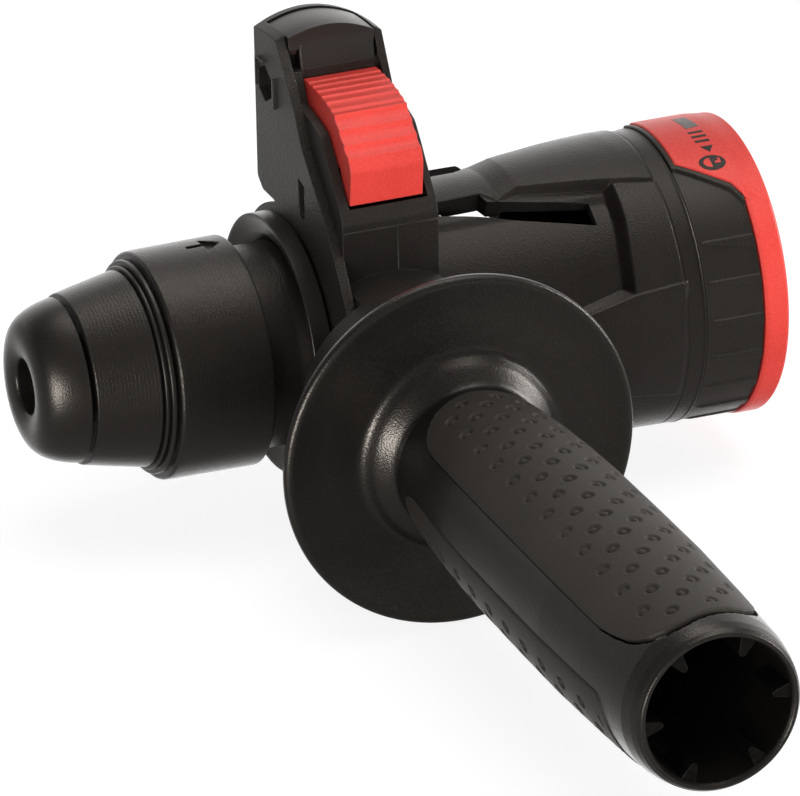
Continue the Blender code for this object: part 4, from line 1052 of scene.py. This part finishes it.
collar_x = np.unique(np.concatenate([
    np.linspace(*COLLAR_X, 60), [66.15, 66.3, 67.2, 67.35, 76.3, 76.42],
]))
collar_degrees = np.linspace(0, 360, 1080, endpoint=False)
collar_rows = [(x, collar_radius(np.full(1080, x), collar_degrees)) for x in collar_x]
lock_collar = turned_relief("lock_collar_fine", collar_rows + COLLAR_INSIDE, collar_degrees,
                            around_x, "black_collar", sharp=32)
attach(lock_collar, "lock_ring", "lock_collar")

# red ring with three lugs in its bore
RING_FRONT_X = 78.4
RED_RING = [(RING_FRONT_X, 25.0), (RING_FRONT_X, 29.95, 0.25), (79.2, 30.15, 0.6),
            (83.0, 30.2, 0.4), (83.6, 29.7, 0.3), (83.6, 25.0, 0.3)]
LUG_HALF = 14  # degrees
ring = lathe("lock_ring_fine", rounded(RED_RING, 5), "red_plastic", segments=240)
for k in range(3):
    middle = 30.0 + 120.0 * k
    rows = [(x, middle - LUG_HALF, middle + LUG_HALF) for x in (80.2, 83.2)]
    join(ring, curved_cutter(f"lug_{k}", rows, 22.4, 26.0, 16))
attach(polish(ring, 35), "lock_ring", "lock_ring")

# near edge of the red tongue on top, as (x, degrees)
TONGUE = [(67.0, 68.3), (76.4, 55.3), (77.6, 51.2), (78.45, 48.5), (80.5, 45.5), (83.35, 44.0)]
TONGUE_R = 30.62


def lock_tongue():
    stations = np.concatenate([np.linspace(67.0, 68.0, 10), np.linspace(68.2, 83.35, 84)])
    near = follow(stations, TONGUE)[:, None]
    far = 180 - near
    # columns are closer together towards the edges
    across = np.linspace(0, 1, 170)
    across = across - 0.06 * np.sin(math.tau * across)
    degrees = near + (far - near) * across[None, :]
    x = np.broadcast_to(stations[:, None], degrees.shape).copy()
    # the patch runs on behind the tongue, so that only its other edges are rolled
    depth = patch_depth(x, degrees, with_mirror(TONGUE + [(90.0, 40.0)]))
    outer = TONGUE_R - 0.3 * arched(np.clip(1 - depth / 0.4, 0, 1), 2)
    # behind the ring's front the tongue fades into the ring
    side = np.minimum(degrees - near, far - degrees)
    fade = smoothstep(78.2, 82.8, x)
    outer = outer * (1 - fade) + 30.21 * fade
    flush = 30.19 + 0.45 * smoothstep(0.0, 7.0, side)
    outer = np.where(x > RING_FRONT_X, np.minimum(outer, flush), outer)
    outer = outer - 0.15 * np.clip((x - 83.0) / 0.35, 0, 1) ** 2
    return sheet("lock_tongue_fine", x, degrees, outer, 29.95, around_x, "red_plastic", sharp=50)


attach(lock_tongue(), "lock_ring")


def mark(name, outline, material, top_r, depth):
    """Thin convex mark of (x, degrees). Rings towards its middle keep it on the curve."""
    points = []
    for (x0, t0), (x1, t1) in zip(outline, outline[1:] + outline[:1]):
        k = max(1, int(abs(t1 - t0) / 1.2))
        points += [(x0 + (x1 - x0) * i / k, t0 + (t1 - t0) * i / k) for i in range(k)]
    points = np.array(points)
    middle = points.mean(0)
    n = len(points)
    rings = [middle + (points - middle) * share for share in (1.0, 0.72, 0.44, 0.16)]
    flat = np.concatenate([points] + rings + [middle[None]])
    radius = np.full(len(flat), top_r)
    radius[:n] = top_r - depth
    faces = [list(range(n - 1, -1, -1))]
    for k in range(4):
        faces += band(k * n, (k + 1) * n, n)
    faces += [(4 * n + i, 4 * n + (i + 1) % n, 5 * n) for i in range(n)]
    return make(name, around_x(flat[:, 0], flat[:, 1], radius), faces, material)


def oval(x, degrees, half_x, half_degrees, count=32, start=0.0, end=360.0):
    """Whole oval, or the part from start to end."""
    angles = np.radians(np.linspace(start, end, count, endpoint=end - start < 360))
    return [(x + half_x * math.cos(a), degrees + half_degrees * math.sin(a)) for a in angles]


# marks on the tongue: name, outline, material
MARKS = [
    ("mark_block", [(73.9, 88.0), (76.9, 89.0), (76.5, 100.6), (73.7, 100.9)], "grey_print"),
    *[(f"mark_bar_{k}", rectangle(73.6, 76.7, t, t + 1.4), "black_print")
      for k, t in enumerate((77.2, 80.5, 83.8))],
    ("mark_arrow", [(73.9, 74.6), (76.7, 74.6), (75.3, 70.9)], "black_print"),
    # closed-lock symbol: dark oval with a red shackle and keyhole
    ("mark_locked", oval(74.6, 65.4, 2.8, 3.8), "black_print"),
    ("mark_shackle", oval(74.35, 65.6, 1.55, 2.3, 18, 90.0, 270.0), "red_plastic"),
    ("mark_keyhole", rectangle(75.2, 76.4, 64.9, 65.9), "red_plastic"),
    ("mark_keyway", rectangle(75.9, 76.4, 65.9, 67.2), "red_plastic"),
]
for name, outline, material in MARKS:
    # red marks lie on top of the dark oval
    top_r, depth = (30.675, 0.10) if material == "red_plastic" else (30.655, 0.12)
    attach(mark(name, outline, material, top_r, depth), "lock_ring")

# =====================================================================================
# Floor, light, camera (metres)
# =====================================================================================
AHEAD = Vector((0.33160148, 0.84977439, -0.40978524))  # the way the camera looks
FLOOR_Z = -0.0372


def glow_behind(tree, direction, sign, low, high, start):
    """Brightness that rises from low to high towards what lies behind the object.

    start and full bound the rise, as cosines of the angle to the camera's view.
    """
    full = 1.0
    facing = node(tree, "ShaderNodeVectorMath", {0: direction, 1: tuple(AHEAD * sign)},
                  operation="DOT_PRODUCT")
    return node(tree, "ShaderNodeMapRange", {
        "From Min": start, "From Max": full, "To Min": low, "To Max": high,
        "Value": facing.outputs["Value"],
    }, interpolation_type="SMOOTHSTEP").outputs["Result"]


def seen_by_camera(tree, other, strength):
    """strength for camera rays, other for the rest."""
    camera_ray = tree.nodes.new("ShaderNodeLightPath").outputs["Is Camera Ray"]
    inputs = {"Factor": camera_ray, "A": other, "B": strength}
    return node(tree, "ShaderNodeMix", inputs, data_type="FLOAT").outputs["Result"]


tree, surface = new_material("studio_floor")
place = tree.nodes.new("ShaderNodeTexCoord").outputs["Object"]
mottle = noise(tree, place, scale=3.0, detail=2.0)
incoming = tree.nodes.new("ShaderNodeNewGeometry").outputs["Incoming"]
feed(tree, surface, {
    "Base Color": mix_colour(tree, mottle, (0.36, 0.36, 0.358), (0.38, 0.38, 0.38)),
    "Roughness": 0.9,
    "Specular IOR Level": 0.1,
    # the floor glows for the camera, so that shadows on it stay pale
    "Emission Color": (1, 1, 1, 1),
    "Emission Strength": seen_by_camera(
        tree, glow_behind(tree, incoming, sign=-1.0, low=0.15, high=2.6, start=0.80),
        strength=0.84),
})
bpy.ops.mesh.primitive_plane_add(size=30, location=(0, 0, FLOOR_Z))
floor = bpy.context.object
floor.name = "floor"
floor.data.materials.append(finishes["studio_floor"])

# the frame may have brought a world
world = bpy.data.worlds[0] if bpy.data.worlds else bpy.data.worlds.new("studio")
bpy.context.scene.world = world
world.use_nodes = True
tree = world.node_tree
tree.nodes.clear()
output = tree.nodes.new("ShaderNodeOutputWorld")
towards = tree.nodes.new("ShaderNodeTexCoord").outputs["Generated"]
sky_glow = glow_behind(tree, towards, sign=1.0, low=0.16, high=1.9, start=0.30)
sky = node(tree, "ShaderNodeBackground", {
    "Color": (1, 1, 1, 1), "Strength": seen_by_camera(tree, sky_glow, strength=1.0),
})
feed(tree, output, {"Surface": sky.outputs[0]})

LIGHT_TARGET = Vector((CROSSING_X + 0.010, -0.05, 0.0))


def softbox(name, offset, size, power, hidden_from):
    """Area light aimed at the head, with its x counted from the crossing of the axes."""
    data = bpy.data.lights.new(name, "AREA")
    data.shape = "RECTANGLE"
    data.size, data.size_y = size
    data.energy = power
    light = bpy.data.objects.new(name, data)
    bpy.context.scene.collection.objects.link(light)
    place = Vector((CROSSING_X + offset[0], *offset[1:]))
    light.location = place
    light.rotation_euler = (LIGHT_TARGET - place).to_track_quat("-Z", "Y").to_euler()
    setattr(light, hidden_from, False)


# three boxes that only make the highlights: name, offset, size, power
for name, offset, size, power in (
    ("overhead", (0.25, 0.13, 1.03), (1.1, 0.36), 4.4),
    ("left", (-1.09, -0.90, 0.07), (0.26, 0.22), 17.5),
    ("right", (1.32, -0.06, 0.32), (0.22, 0.62), 10.5),
):
    softbox(name, offset, size, power, hidden_from="visible_diffuse")
# broad fills that leave no highlight: offset, size, power
for offset, size, power in (
    ((-0.5, -1.6, 0.45), (1.5, 1.1), 6.6),
    ((0.1, -0.4, 1.5), (1.5, 1.1), 9.2),
    ((0.85, -1.4, 0.12), (0.8, 0.28), 14.5),
):
    softbox("fill", offset, size, power, hidden_from="visible_glossy")

camera_data = bpy.data.cameras.new("camera")
camera = bpy.data.objects.new("camera", camera_data)
bpy.context.scene.collection.objects.link(camera)
right = Vector((0.92818834, -0.37159988, -0.01949175))
up = Vector((0.16883974, 0.37389439, 0.91197376))
eye = (-0.69276148 + CROSSING_X, -1.80672658, 0.85434821)
camera.matrix_world = Matrix((*zip(right, up, -AHEAD, eye), (0, 0, 0, 1)))
camera_data.sensor_width = 36.0
camera_data.lens = 482.09
camera_data.clip_start, camera_data.clip_end = 0.05, 50.0
bpy.context.scene.camera = camera
bpy.context.scene.view_settings.view_transform = "Standard"

# =====================================================================================
# Springs: each is a copy of its imported mesh, handed to its body in place of that node
# =====================================================================================
# part, body, joint, axis, travel in metres, which corner of the box holds the seat
SPRINGS = [
    ("sleeve_spring", "spindle", "lock_sleeve_slide", 0, 0.0055, 1),
    ("button_spring", "clamp", "release_button_slide", 2, 0.0030, 0),
]
for part, body, joint, axis, travel, seat_corner in SPRINGS:
    solid = frame["nodes"][part]
    spring = bpy.data.objects.new(part + "_fine", solid.data.copy())
    bpy.context.scene.collection.objects.link(spring)
    spring.matrix_world = solid.matrix_world.copy()
    attach(spring, body, part)
    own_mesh(spring)
